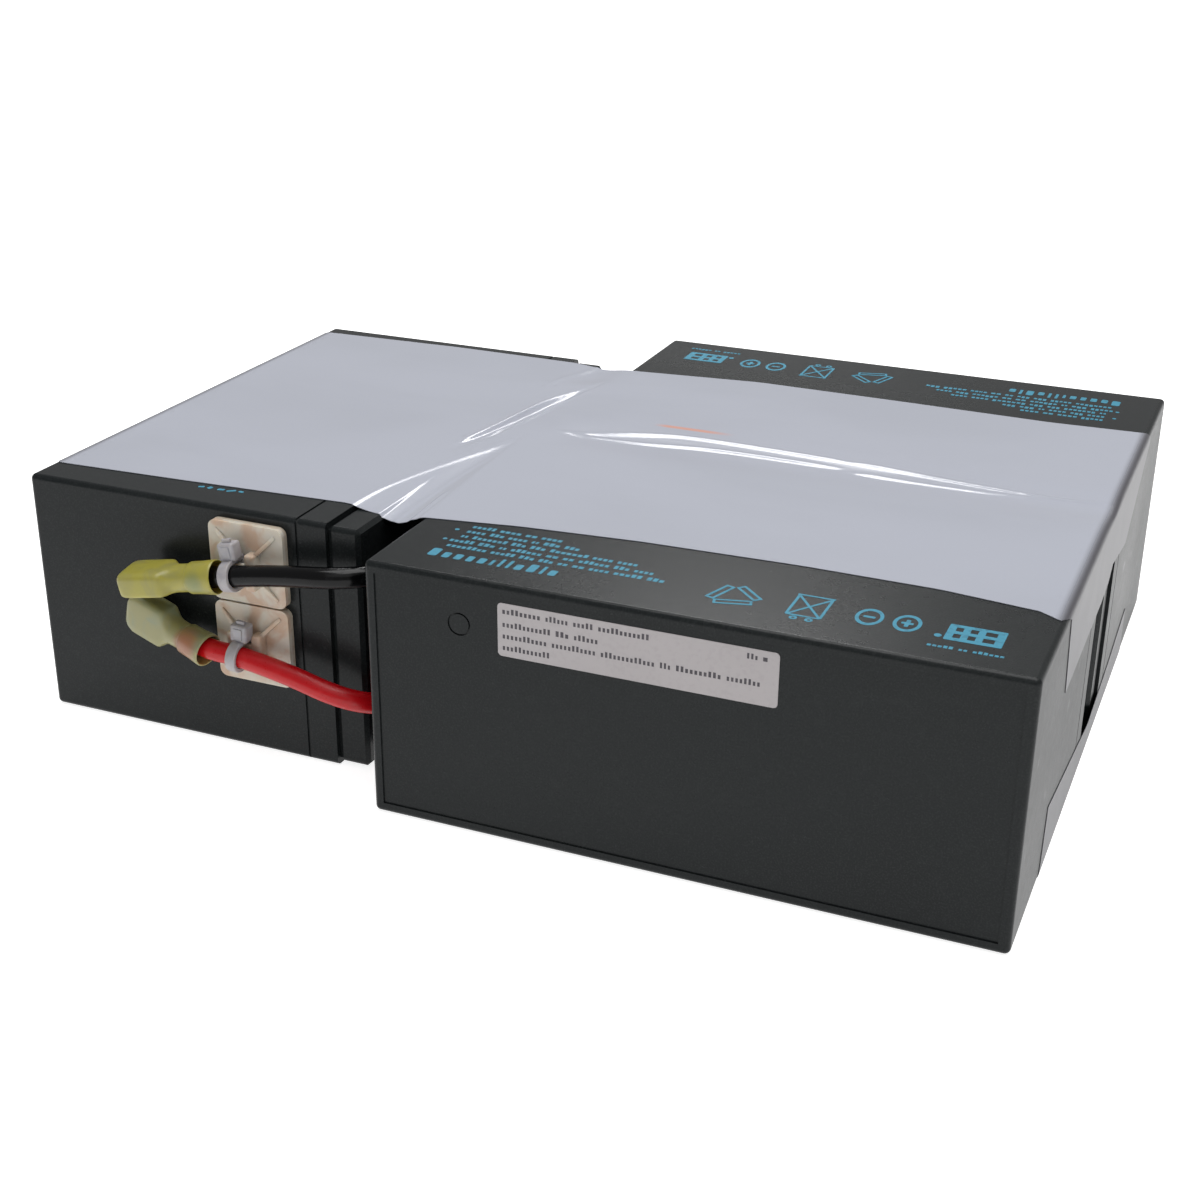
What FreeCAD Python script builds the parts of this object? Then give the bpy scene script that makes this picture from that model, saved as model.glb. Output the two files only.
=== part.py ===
"""Backup battery pack: three sealed 12 V lead-acid batteries on their sides, bound by film.

Frame: +X along the pack, +Y to the back, +Z up, origin at the middle of the underside.
Battery A lies front right with its base to the front, B lies behind it with its base to the
back, and C lies at the left with its base to the left.  A battery is drawn standing upright
in its own frame: X along its length, Y across its width, Z up from its base to its lid.
"""
import FreeCAD
import Part
import Sketcher

import math
import os
import re

from FreeCAD import Placement, Rotation, Vector

SIZES = {
    # pack
    "lid_gap": 11.0,
    "side_gap": 10.4,
    "c_offset": 15.5,
    "film_thickness": 0.2,
    "film_width": 132.0,
    "film_front": 30.0,
    "top_flap": 20.0,
    "bottom_flap": 15.0,
    # battery case and lid
    "battery_length": 151.0,
    "battery_width": 64.5,
    "case_height": 85.5,
    "lid_height": 94.0,
    "joint_height": 1.2,
    "joint_inset": 1.6,
    "lid_inset": 0.8,
    "lid_chamfer": 1.0,
    "corner_radius": 1.4,
    "wall": 2.5,
    "case_floor": 3.0,
    "partition": 1.6,
    "base_lip": 2.6,
    "base_recess": 0.4,
    "band_height": 77.2,
    "band_groove": 0.7,
    "band_depth": 0.4,
    "mark_along": 23.6,
    "mark_across": 11.5,
    "mark_radius": 2.8,
    "mark_line": 0.4,
    # valves
    "well_length": 104.0,
    "well_width": 44.0,
    "well_depth": 6.5,
    "cover_thickness": 1.5,
    "cover_ledge": 2.0,
    "cover_gap": 0.25,
    "vent_radius": 2.5,
    "vent_bore": 1.1,
    "vent_height": 3.8,
    "vent_pitch_along": 42.0,
    "vent_pitch_across": 26.0,
    "cap_wall": 1.3,
    "cap_lift": 0.4,
    "cap_height": 4.5,
    # plate stacks
    "plate_length": 45.7,
    "plate_height": 64.0,
    "plate_margin": 1.0,
    "positive_thickness": 2.4,
    "negative_thickness": 1.9,
    "separator_thickness": 1.1,
    "separator_height": 67.0,
    "stack_margin": 0.5,
    "lug_width": 9.0,
    "lug_height": 7.0,
    "strap_height": 4.0,
    "weld_height": 5.0,
    "weld_width": 8.0,
    "weld_reach": 6.0,
    "post_radius": 3.5,
    "post_height": 6.0,
    # terminals
    "terminal_along": 12.0,
    "terminal_spread": 38.0,
    "tab_width": 6.35,
    "tab_thickness": 0.8,
    "tab_height": 98.6,
    "tab_clearance": 0.1,
    "pocket_length": 16.0,
    "pocket_width": 12.0,
    "pocket_depth": 4.0,
    "seal_length": 10.0,
    "seal_width": 5.0,
    "seal_height": 0.8,
    "boot_bottom": 91.0,
    "boot_length": 10.4,
    "boot_width": 5.6,
    "boot_height": 9.4,
    "boot_wall": 1.4,
    "barrel_axis": 97.0,
    "barrel_radius": 2.9,
    "barrel_reach": 9.5,
    "crimp_radius": 1.9,
    # leads
    "lead_diameter": 5.2,
    "jumper_diameter": 4.0,
    # lead connectors
    "sleeve_length": 25.0,
    "head_length": 12.2,
    "head_width": 11.0,
    "head_thickness": 6.6,
    "head_radius": 1.8,
    "head_chamfer": 2.6,
    "neck_radius": 3.45,
    "neck_end": 17.6,
    "flare_radius": 3.95,
    "mouth_radius": 4.3,
    "funnel_depth": 7.2,
    "funnel_radius": 2.7,
    "funnel_mouth": 3.75,
    "slot_width": 8.4,
    "slot_height": 3.0,
    "slot_depth": 10.0,
    "socket_width": 7.6,
    "socket_height": 2.4,
    "socket_length": 9.0,
    # mounts and ties
    "mount_size": 20.6,
    "mount_radius": 2.0,
    "foam_thickness": 1.0,
    "mount_thickness": 1.2,
    "lead_stand_off": 8.0,
    "mount_shift": 0.9,
    "mount_lift": 1.0,
    "bridge_length": 6.2,
    "bridge_thickness": 1.4,
    "bridge_half": 2.3,
    "leg_half": 4.2,
    "tie_slot": 3.8,
    "tie_width": 2.7,
    "tie_thickness": 1.1,
    "tie_clearance": 0.15,
    "tie_head_length": 4.6,
    "tie_head_depth": 4.0,
    "tie_head_height": 5.0,
    # label
    "label_length": 64.6,
    "label_height": 12.8,
    "label_thickness": 0.12,
    "label_radius": 1.0,
    "label_along": 33.2,
    "label_across": 47.3,
}

# Where each lead and jumper runs, from its terminal boot outwards, in the pack's frame.
BLACK_LEAD_ROUTE = [
    (-30.7, 45.5, 51.45), (-30.7, 30.5, 51.45), (-28.9, 6.5, 52.6), (-28.5, -19.5, 52.4),
    (-28.6, -43.5, 53.6), (-28.2, -65.5, 54.8), (-28.3, -83.0, 56.4), (-35.5, -91.6, 55.8),
    (-49.8, -92.1, 53.5), (-64.1, -92.0, 50.8), (-74.8, -92.5, 48.8)]
RED_LEAD_ROUTE = [
    (-20.8, -2.5, 13.45), (-25.7, -2.5, 13.45), (-28.8, -6.9, 14.0), (-29.0, -17.5, 15.1),
    (-28.5, -35.5, 16.8), (-28.7, -55.5, 18.2), (-28.3, -72.5, 20.6), (-28.3, -84.7, 22.8),
    (-35.9, -91.9, 25.6), (-49.3, -92.1, 28.0), (-63.9, -92.0, 29.7), (-73.0, -91.9, 29.75),
    (-79.2, -90.8, 31.2)]
JUMPER_AB_ROUTE = [
    (-1.8, -2.5, 51.45), (4.2, -2.5, 51.45), (12.2, -2.2, 59.8), (25.7, -2.5, 58.8),
    (42.7, -2.7, 50.7), (60.7, -2.5, 38.7), (75.7, -1.9, 27.2), (87.7, 0.9, 17.7),
    (97.2, 2.5, 13.45), (106.2, 2.5, 13.45)]
JUMPER_BC_ROUTE = [
    (106.2, 2.5, 51.45), (96.7, 2.5, 51.45), (80.7, 2.6, 45.8), (60.7, 2.4, 39.4),
    (39.7, 2.5, 33.4), (18.7, 2.4, 27.2), (-1.3, 2.5, 21.8), (-14.3, 1.9, 18.8),
    (-27.1, 3.1, 17.0), (-30.2, 12.0, 15.6), (-30.5, 23.5, 14.2), (-30.7, 35.5, 13.45),
    (-30.7, 45.5, 13.45)]

# Each lead connector: the middle of its open tip, the middle of its mouth, and its roll.
BLACK_CONNECTOR = ((-92.4, -93.8, 45.9), (-67.7, -92.0, 50.0), 86.0)
RED_CONNECTOR = ((-96.3, -87.7, 35.25), (-72.3, -92.0, 29.6), 0.0)

# Where each lead crosses its tie mount, and the lead's rise there in degrees.
UPPER_TIE = ((-64.1, -92.0, 50.8), 10.5)
LOWER_TIE = ((-63.9, -92.0, 29.7), -3.4)

CELLS_ALONG = 3
CELLS_ACROSS = 2
RUN_SHARE = 0.45

document = FreeCAD.newDocument("BatteryPack")
sheet = document.addObject("Spreadsheet::Sheet", "Sizes")
subparts = []


def fill_sheet():
    """Write each driving dimension to the sheet under its own alias."""
    for row, (alias, value) in enumerate(SIZES.items(), start=1):
        sheet.set(f"A{row}", alias)
        sheet.set(f"B{row}", str(value))
        sheet.setAlias(f"B{row}", alias)
    document.recompute()


def size(alias):
    """Read one driving dimension back from the sheet."""
    return float(getattr(sheet, alias))


def bind(thing, name, formula):
    """Tie a property or constraint to a formula written in the sheet's aliases."""
    thing.setExpression(name, re.sub(r"\b([a-z][a-z_]+)\b", r"Sizes.\1", str(formula)))


def keep(thing, label, placement=None):
    """Register a finished sub-part under the name that its file takes."""
    thing.Label = label
    if placement is not None:
        thing.Placement = placement
    subparts.append(thing)
    return thing


# ---------------------------------------------------------------- sketches and features

def origin_item(body, role):
    return next(item for item in body.Origin.OriginFeatures if item.Role == role)


def new_body(name):
    return document.addObject("PartDesign::Body", name)


def new_sketch(body, name, lift="0", plane="XY_Plane"):
    """Attach a sketch to one of the body's own origin planes, raised by a formula."""
    sketch = body.newObject("Sketcher::SketchObject", name)
    sketch.AttachmentSupport = [(origin_item(body, plane), "")]
    sketch.MapMode = "FlatFace"
    bind(sketch, ".AttachmentOffset.Base.z", lift)
    return sketch


def add_rectangle(sketch, left, low, width, height):
    """Draw a rectangle whose corner and sides are formulas."""
    first = sketch.GeometryCount
    corners = [Vector(0, 0, 0), Vector(1, 0, 0), Vector(1, 1, 0), Vector(0, 1, 0)]
    for side in range(4):
        sketch.addGeometry(Part.LineSegment(corners[side], corners[(side + 1) % 4]))
    for side in range(4):
        after = first + (side + 1) % 4
        sketch.addConstraint(Sketcher.Constraint("Coincident", first + side, 2, after, 1))
    for side in (0, 2):
        sketch.addConstraint(Sketcher.Constraint("Horizontal", first + side))
        sketch.addConstraint(Sketcher.Constraint("Vertical", first + side + 1))
    lengths = [
        (Sketcher.Constraint("DistanceX", -1, 1, first, 1, 1.0), left),
        (Sketcher.Constraint("DistanceY", -1, 1, first, 1, 1.0), low),
        (Sketcher.Constraint("DistanceX", first, 1, first, 2, 1.0), width),
        (Sketcher.Constraint("DistanceY", first + 1, 1, first + 1, 2, 1.0), height)]
    for constraint, formula in lengths:
        bind(sketch, f"Constraints[{sketch.addConstraint(constraint)}]", formula)


def add_circle(sketch, along, across, radius):
    """Draw a circle whose centre and radius are formulas."""
    circle = sketch.addGeometry(Part.Circle(Vector(1, 1, 0), Vector(0, 0, 1), 1))
    lengths = [
        (Sketcher.Constraint("DistanceX", -1, 1, circle, 3, 1.0), along),
        (Sketcher.Constraint("DistanceY", -1, 1, circle, 3, 1.0), across),
        (Sketcher.Constraint("Radius", circle, 1.0), radius)]
    for constraint, formula in lengths:
        bind(sketch, f"Constraints[{sketch.addConstraint(constraint)}]", formula)


def pad(body, name, profile, length):
    feature = body.newObject("PartDesign::Pad", name)
    feature.Profile = profile
    bind(feature, "Length", length)
    document.recompute()
    return feature


def pocket(body, name, profile, length):
    """Cut upwards from the sketch and make sure that something was cut."""
    before = body.Shape.Volume
    feature = body.newObject("PartDesign::Pocket", name)
    feature.Profile = profile
    feature.Reversed = True
    bind(feature, "Length", length)
    document.recompute()
    if body.Shape.Volume > before - 1e-3:
        raise RuntimeError(f"{body.Name}.{name} cut nothing")
    return feature


def block(body, name, lift, left, low, width, depth, height):
    """Pad a rectangle drawn in the XY plane."""
    sketch = new_sketch(body, name + "_sketch", lift)
    add_rectangle(sketch, left, low, width, depth)
    return pad(body, name, sketch, height)


def block_pocket(body, name, lift, left, low, width, depth, height):
    """Cut a rectangular pocket upwards from a lifted XY plane."""
    sketch = new_sketch(body, name + "_sketch", lift)
    add_rectangle(sketch, left, low, width, depth)
    return pocket(body, name, sketch, height)


def edges(feature, wanted):
    """Name the feature's edges whose box passes a test."""
    found = enumerate(feature.Shape.Edges, start=1)
    return [f"Edge{number}" for number, edge in found if wanted(edge.BoundBox)]


def fillet(body, name, base, wanted, radius):
    feature = body.newObject("PartDesign::Fillet", name)
    feature.Base = (base, edges(base, wanted))
    bind(feature, "Radius", radius)
    document.recompute()
    return feature


def chamfer(body, name, base, wanted, width):
    feature = body.newObject("PartDesign::Chamfer", name)
    feature.Base = (base, edges(base, wanted))
    bind(feature, "Size", width)
    document.recompute()
    return feature


def grid(body, name, originals, steps):
    """Repeat features along the origin axes: each step is an axis role, a count, a pitch."""
    pattern = body.newObject("PartDesign::MultiTransform", name)
    rows = []
    for number, (axis, count, pitch) in enumerate(steps):
        row = body.newObject("PartDesign::LinearPattern", f"{name}_{number}")
        row.Direction = (origin_item(body, axis), [""])
        row.Occurrences = count
        bind(row, "Length", f"{count - 1} * ({pitch})")
        rows.append(row)
    pattern.Originals = originals
    pattern.Transformations = rows
    body.Tip = pattern
    document.recompute()
    return pattern


def solid(kind, name, spot=(0, 0, 0), turn=None, **sizes):
    """Make a Part primitive with its sizes bound to formulas."""
    thing = document.addObject(f"Part::{kind}", name)
    for key, formula in sizes.items():
        bind(thing, key, formula)
    thing.Placement = Placement(Vector(*spot), turn or Rotation())
    return thing


def fuse(name, pieces):
    joined = document.addObject("Part::MultiFuse", name)
    joined.Shapes = pieces
    return joined


def cut(name, base, tool):
    difference = document.addObject("Part::Cut", name)
    difference.Base = base
    difference.Tool = tool
    return difference


def group(name, pieces):
    bundle = document.addObject("Part::Compound", name)
    bundle.Links = pieces
    return bundle


# ---------------------------------------------------------------- one battery

CELL_LENGTH = f"((battery_length - 2 * wall - {CELLS_ALONG - 1} * partition) / {CELLS_ALONG})"
CELL_WIDTH = f"((battery_width - 2 * wall - {CELLS_ACROSS - 1} * partition) / {CELLS_ACROSS})"
CELL_PITCH_ALONG = f"({CELL_LENGTH} + partition)"
CELL_PITCH_ACROSS = f"({CELL_WIDTH} + partition)"
CELL_STEPS = [("X_Axis", CELLS_ALONG, CELL_PITCH_ALONG), ("Y_Axis", CELLS_ACROSS, CELL_PITCH_ACROSS)]
STACK_PITCH = "(positive_thickness + negative_thickness + 2 * separator_thickness)"
STRAP_BASE = "(case_floor + plate_height + lug_height)"
WELD_BASE = f"({STRAP_BASE} + strap_height)"


def case_ring(body, name, lift, inset, height):
    """Cut a shallow ring round the outside of the case."""
    sketch = new_sketch(body, name + "_sketch", lift)
    add_rectangle(sketch, "-1", "-1", "battery_length + 2", "battery_width + 2")
    add_rectangle(sketch, inset, inset, f"battery_length - 2 * {inset}", f"battery_width - 2 * {inset}")
    return pocket(body, name, sketch, height)


def make_case(prefix):
    """Moulded case: outer walls, six cells, a rim band line and a recessed base panel."""
    body = new_body(prefix + "_case")
    shell = block(body, "shell", "0", "0", "0", "battery_length", "battery_width", "case_height")
    top = size("case_height") - 0.01
    fillet(body, "corners", shell, lambda box: box.ZMin < top, "corner_radius")
    block_pocket(body, "base_panel", "0", "base_lip", "base_lip", "battery_length - 2 * base_lip",
                 "battery_width - 2 * base_lip", "base_recess")
    mark = new_sketch(body, "mark_sketch", "base_recess")
    add_circle(mark, "mark_along", "mark_across", "mark_radius")
    add_circle(mark, "mark_along", "mark_across", "mark_radius - mark_line")
    pocket(body, "mark", mark, "mark_line")
    case_ring(body, "rim_band", "band_height", "band_depth", "band_groove")
    cell = block_pocket(body, "cell", "case_floor", "wall", "wall", CELL_LENGTH, CELL_WIDTH,
                        "case_height - case_floor")
    grid(body, "cells", [cell], CELL_STEPS)
    weld = block_pocket(
        body, "weld_window", WELD_BASE, f"wall + {CELL_LENGTH}",
        f"wall + {CELL_WIDTH} / 2 - weld_width / 2", "partition", "weld_width", "weld_height")
    steps = [("X_Axis", CELLS_ALONG - 1, CELL_PITCH_ALONG), ("Y_Axis", CELLS_ACROSS, CELL_PITCH_ACROSS)]
    grid(body, "weld_windows", [weld], steps)
    block_pocket(body, "cross_window", WELD_BASE, "battery_length - wall - plate_margin - lug_width",
                 f"wall + {CELL_WIDTH}", "weld_width", "partition", "weld_height")
    return body


def lid_level(body, name, lift, inset, height):
    return block(body, name, lift, inset, inset, f"battery_length - 2 * {inset}",
                 f"battery_width - 2 * {inset}", height)


def centred_pocket(body, name, lift, length, width, height):
    return block_pocket(body, name, lift, f"(battery_length - {length}) / 2",
                        f"(battery_width - {width}) / 2", length, width, height)


def vent_circles(body, name, lift, radius):
    """Draw the circle of the first of the six vents."""
    sketch = new_sketch(body, name, lift)
    add_circle(sketch, "battery_length / 2 - vent_pitch_along",
               "battery_width / 2 - vent_pitch_across / 2", radius)
    return sketch


VENT_STEPS = [("X_Axis", CELLS_ALONG, "vent_pitch_along"), ("Y_Axis", CELLS_ACROSS, "vent_pitch_across")]
WELL_FLOOR = "(lid_height - well_depth)"


def make_lid(prefix):
    """Lid with its dark joint line, vent well, six vent tubes and two terminal pockets."""
    body = new_body(prefix + "_lid")
    joint = lid_level(body, "joint", "case_height", "joint_inset", "joint_height")
    top = lid_level(body, "slab", "case_height + joint_height", "lid_inset",
                    "lid_height - case_height - joint_height")
    low = size("case_height") + size("joint_height") + 0.01
    high = size("lid_height") - 0.01
    upright = fillet(body, "lid_corners", top,
                     lambda box: box.ZMin < low < box.ZMax and box.ZMax > high, "corner_radius")
    chamfer(body, "lid_edge", upright, lambda box: box.ZMin > high, "lid_chamfer")
    centred_pocket(body, "cover_seat", "lid_height - cover_thickness", "well_length", "well_width",
                   "cover_thickness")
    centred_pocket(body, "well", WELL_FLOOR, "(well_length - 2 * cover_ledge)",
                   "(well_width - 2 * cover_ledge)", "well_depth")
    for number, side in enumerate((-1, 1)):
        middle = f"battery_width / 2 + ({side}) * terminal_spread / 2"
        block_pocket(body, f"terminal_pocket_{number}", "lid_height - pocket_depth",
                     "terminal_along - pocket_length / 2", f"{middle} - pocket_width / 2",
                     "pocket_length", "pocket_width", "pocket_depth")
        slot = "(tab_width + tab_clearance)"
        narrow = "(tab_thickness + tab_clearance)"
        block_pocket(body, f"tab_slot_{number}", "case_height", f"terminal_along - {slot} / 2",
                     f"{middle} - {narrow} / 2", slot, narrow, "lid_height - case_height")
    tube = pad(body, "vent_tube", vent_circles(body, "vent_sketch", WELL_FLOOR, "vent_radius"),
               "vent_height")
    grid(body, "vent_tubes", [tube], VENT_STEPS)
    bore = pocket(body, "vent_bore", vent_circles(body, "bore_sketch", "case_height", "vent_bore"),
                  "lid_height - case_height")
    grid(body, "vent_bores", [bore], VENT_STEPS)
    return body


def make_vent_cover(prefix):
    """Flush plate that closes the vent well."""
    body = new_body(prefix + "_vent_cover")
    block(body, "plate", "lid_height - cover_thickness",
          "(battery_length - well_length) / 2 + cover_gap",
          "(battery_width - well_width) / 2 + cover_gap", "well_length - 2 * cover_gap",
          "well_width - 2 * cover_gap", "cover_thickness")
    return body


def make_valve_caps(prefix):
    """Six rubber caps, each a cup pushed over its vent tube."""
    body = new_body(prefix + "_valve_caps")
    base = f"{WELL_FLOOR} + cap_lift"
    skirt_sketch = vent_circles(body, "skirt_sketch", base, "vent_radius + cap_wall")
    add_circle(skirt_sketch, "battery_length / 2 - vent_pitch_along",
               "battery_width / 2 - vent_pitch_across / 2", "vent_radius")
    skirt = pad(body, "skirt", skirt_sketch, "vent_height - cap_lift")
    crown_sketch = vent_circles(body, "crown_sketch", f"{WELL_FLOOR} + vent_height",
                                "vent_radius + cap_wall")
    crown = pad(body, "crown", crown_sketch, "cap_height - vent_height")
    grid(body, "caps", [skirt, crown], VENT_STEPS)
    return body


def make_plates(prefix, name, thickness, start, count, lug_at):
    """One polarity of plates in all six cells; lug_at gives each row's lug position."""
    body = new_body(f"{prefix}_{name}_plates")
    originals = []
    for row in range(CELLS_ACROSS):
        across = f"wall + {row} * {CELL_PITCH_ACROSS} + stack_margin + {start}"
        originals.append(block(body, f"plate_{row}", "case_floor", "wall + plate_margin", across,
                               "plate_length", thickness, "plate_height"))
        originals.append(block(body, f"lug_{row}", "case_floor + plate_height", lug_at[row], across,
                               "lug_width", thickness, "lug_height"))
    grid(body, "stack", originals,
         [("Y_Axis", count, STACK_PITCH), ("X_Axis", CELLS_ALONG, CELL_PITCH_ALONG)])
    return body


def make_separators(prefix):
    """Glass-mat separators, two for each positive plate."""
    body = new_body(prefix + "_separators")
    originals = []
    for number, start in enumerate(("negative_thickness",
                                    "negative_thickness + separator_thickness + positive_thickness")):
        originals.append(block(body, f"mat_{number}", "case_floor", "wall + plate_margin / 2",
                               f"wall + stack_margin + {start}", "plate_length + plate_margin",
                               "separator_thickness", "separator_height"))
    grid(body, "mats", originals, [("Y_Axis", 4, STACK_PITCH)] + CELL_STEPS)
    return body


def make_straps(prefix):
    """Cast straps over the plate lugs, welds through the partitions, and two posts."""
    body = new_body(prefix + "_cell_straps")
    deep = f"{CELL_WIDTH} - 2 * stack_margin"
    right = "plate_length - lug_width"
    straps = [
        block(body, "left_strap", STRAP_BASE, "wall + plate_margin", "wall + stack_margin",
              "lug_width", deep, "strap_height"),
        block(body, "right_strap", STRAP_BASE, f"wall + plate_margin + {right}",
              "wall + stack_margin", "lug_width", deep, "strap_height")]
    grid(body, "straps", straps, CELL_STEPS)
    weld = block(body, "weld", WELD_BASE, f"wall + {CELL_LENGTH} + partition / 2 - weld_reach",
                 f"wall + {CELL_WIDTH} / 2 - weld_width / 2", "2 * weld_reach", "weld_width",
                 "weld_height")
    steps = [("X_Axis", CELLS_ALONG - 1, CELL_PITCH_ALONG), ("Y_Axis", CELLS_ACROSS, CELL_PITCH_ACROSS)]
    grid(body, "welds", [weld], steps)
    block(body, "cross_weld", WELD_BASE, "battery_length - wall - plate_margin - lug_width",
          "battery_width / 2 - weld_reach", "weld_width", "2 * weld_reach", "weld_height")
    post = new_sketch(body, "post_sketch", WELD_BASE)
    for side in (-1, 1):
        add_circle(post, "terminal_along - plate_margin", f"battery_width / 2 + ({side}) * terminal_spread / 2",
                   "post_radius")
    pad(body, "posts", post, "post_height")
    return body


def make_tab(prefix, name, side):
    """Push-on blade that stands on its post and passes out through the lid."""
    body = new_body(f"{prefix}_{name}_tab")
    block(body, "blade", f"{WELD_BASE} + post_height", "terminal_along - tab_width / 2",
          f"battery_width / 2 + ({side}) * terminal_spread / 2 - tab_thickness / 2", "tab_width",
          "tab_thickness", f"tab_height - {WELD_BASE} - post_height")
    return body


def make_seals(prefix):
    """Sealant poured round each blade on the floor of its pocket."""
    body = new_body(prefix + "_terminal_seals")
    sketch = new_sketch(body, "seal_sketch", "lid_height - pocket_depth")
    for side in (-1, 1):
        middle = f"battery_width / 2 + ({side}) * terminal_spread / 2"
        hole = "(tab_width + tab_clearance)"
        narrow = "(tab_thickness + tab_clearance)"
        add_rectangle(sketch, "terminal_along - seal_length / 2", f"{middle} - seal_width / 2",
                      "seal_length", "seal_width")
        add_rectangle(sketch, f"terminal_along - {hole} / 2", f"{middle} - {narrow} / 2", hole, narrow)
    pad(body, "seals", sketch, "seal_height")
    return body


def terminal(side):
    """Middle of a terminal in the battery's frame."""
    across = size("battery_width") / 2 + side * size("terminal_spread") / 2
    return size("terminal_along"), across


def barrel_turn(direction):
    """Turn a cylinder's axis from +Z to plus or minus X."""
    return Rotation(Vector(0, 1, 0), 90 * direction)


def make_boot(name, side, direction):
    """Insulating boot over a right-angle receptacle, its barrel along the battery's length."""
    along, across = terminal(side)
    floor = size("boot_bottom")
    wall = size("boot_wall")
    length = size("boot_length")
    width = size("boot_width")
    axis = (along, across, size("barrel_axis"))
    outer = solid("Box", name + "_outer", (along - length / 2, across - width / 2, floor),
                  Length="boot_length", Width="boot_width", Height="boot_height")
    barrel = solid("Cylinder", name + "_barrel", axis, barrel_turn(direction),
                   Radius="barrel_radius", Height="barrel_reach")
    room = solid("Box", name + "_room", (along - length / 2 + wall, across - width / 2 + wall, floor),
                 Length="boot_length - 2 * boot_wall", Width="boot_width - 2 * boot_wall",
                 Height="boot_height - boot_wall")
    bore = solid("Cylinder", name + "_bore", axis, barrel_turn(direction),
                 Radius="crimp_radius", Height="barrel_reach - 1")
    return cut(name, fuse(name + "_solid", [outer, barrel]), fuse(name + "_void", [room, bore]))


def make_receptacle(name, side, direction):
    """Right-angle push-on receptacle: a socket round the blade and a crimped barrel."""
    along, across = terminal(side)
    floor = size("boot_bottom")
    length = size("boot_length") - 2 * size("boot_wall")
    width = size("boot_width") - 2 * size("boot_wall")
    slot = size("tab_width") + size("tab_clearance")
    narrow = size("tab_thickness") + size("tab_clearance")
    body = solid("Box", name + "_body", (along - length / 2, across - width / 2, floor),
                 Length="boot_length - 2 * boot_wall", Width="boot_width - 2 * boot_wall",
                 Height="boot_height - boot_wall")
    crimp = solid("Cylinder", name + "_crimp", (along, across, size("barrel_axis")),
                  barrel_turn(direction), Radius="crimp_radius", Height="barrel_reach - 1")
    hole = solid("Box", name + "_hole", (along - slot / 2, across - narrow / 2, floor),
                 Length="tab_width + tab_clearance", Width="tab_thickness + tab_clearance",
                 Height="tab_height - boot_bottom + tab_clearance")
    return cut(name, fuse(name + "_solid", [body, crimp]), hole)


def make_battery(prefix, placement, directions):
    """Build one battery, upright in its own frame, and lay it down with its placement."""
    left_lug = "wall + plate_margin"
    right_lug = "wall + plate_margin + plate_length - lug_width"
    positive_start = "negative_thickness + separator_thickness"
    pieces = [
        make_case(prefix), make_lid(prefix), make_vent_cover(prefix), make_valve_caps(prefix),
        make_plates(prefix, "positive", "positive_thickness", positive_start, 4, (right_lug, left_lug)),
        make_plates(prefix, "negative", "negative_thickness", "0", 5, (left_lug, right_lug)),
        make_separators(prefix), make_straps(prefix), make_tab(prefix, "positive", 1),
        make_tab(prefix, "negative", -1), make_seals(prefix)]
    for piece in pieces:
        keep(piece, piece.Name, placement)
    boots = []
    receptacles = []
    for side, polarity, direction in ((1, "positive", directions[0]), (-1, "negative", directions[1])):
        boots.append(make_boot(f"{prefix}_{polarity}_boot", side, direction))
        receptacles.append(make_receptacle(f"{prefix}_{polarity}_receptacle", side, direction))
    keep(group(prefix + "_boots", boots), prefix + "_receptacle_boots", placement)
    keep(group(prefix + "_receptacles", receptacles), prefix + "_tab_receptacles", placement)


def make_batteries():
    """Lay the three batteries on their sides, lids facing the gaps between them."""
    half_length = (size("lid_height") + size("side_gap") + size("battery_length")) / 2
    half_depth = size("lid_height") + size("lid_gap") / 2
    lying = Rotation(Vector(1, 0, 0), -90)
    lift = size("film_thickness") + size("battery_width")
    spots = {
        "a": (half_length - size("battery_length"), -half_depth, 0, (-1, 1)),
        "b": (half_length, half_depth, 180, (1, 1)),
        "c": (-half_length, size("c_offset") - half_depth + size("battery_length"), -90, (1, 1))}
    for prefix, (along, across, angle, directions) in spots.items():
        turn = Rotation(Vector(0, 0, 1), angle) * lying
        make_battery(prefix, Placement(Vector(along, across, lift), turn), directions)


# ---------------------------------------------------------------- film and label

HALF_LENGTH = "((lid_height + side_gap + battery_length) / 2)"
FILM_START = "(film_front - lid_height - lid_gap / 2)"


def make_film(label, lift, flap, flap_base):
    """One film: a sheet across all three batteries, folded down or up over both ends."""
    body = new_body(label)
    block(body, "sheet", lift, f"-{HALF_LENGTH}", FILM_START, f"2 * {HALF_LENGTH}", "film_width",
          "film_thickness")
    for name, left in (("left_flap", f"-{HALF_LENGTH} - film_thickness"), ("right_flap", HALF_LENGTH)):
        block(body, name, flap_base, left, FILM_START, "film_thickness", "film_width", flap)
    keep(body, label)


def make_films():
    make_film("film_top", "film_thickness + battery_width", "top_flap + film_thickness",
              "film_thickness + battery_width - top_flap")
    make_film("film_bottom", "0", "bottom_flap + film_thickness", "0")


def make_label():
    """Printed label in the recessed panel on the base of battery A."""
    body = new_body("spec_label")
    plate = block(body, "paper", "base_recess - label_thickness", "label_along",
                  "battery_width - label_across - label_height", "label_length", "label_height",
                  "label_thickness")
    thin = size("label_thickness")
    fillet(body, "paper_corners", plate,
           lambda box: box.ZLength > thin / 2 and box.XLength < thin and box.YLength < thin,
           "label_radius")
    battery = next(piece for piece in subparts if piece.Label == "a_case")
    keep(body, "spec_label", battery.Placement)


# ---------------------------------------------------------------- leads

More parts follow.
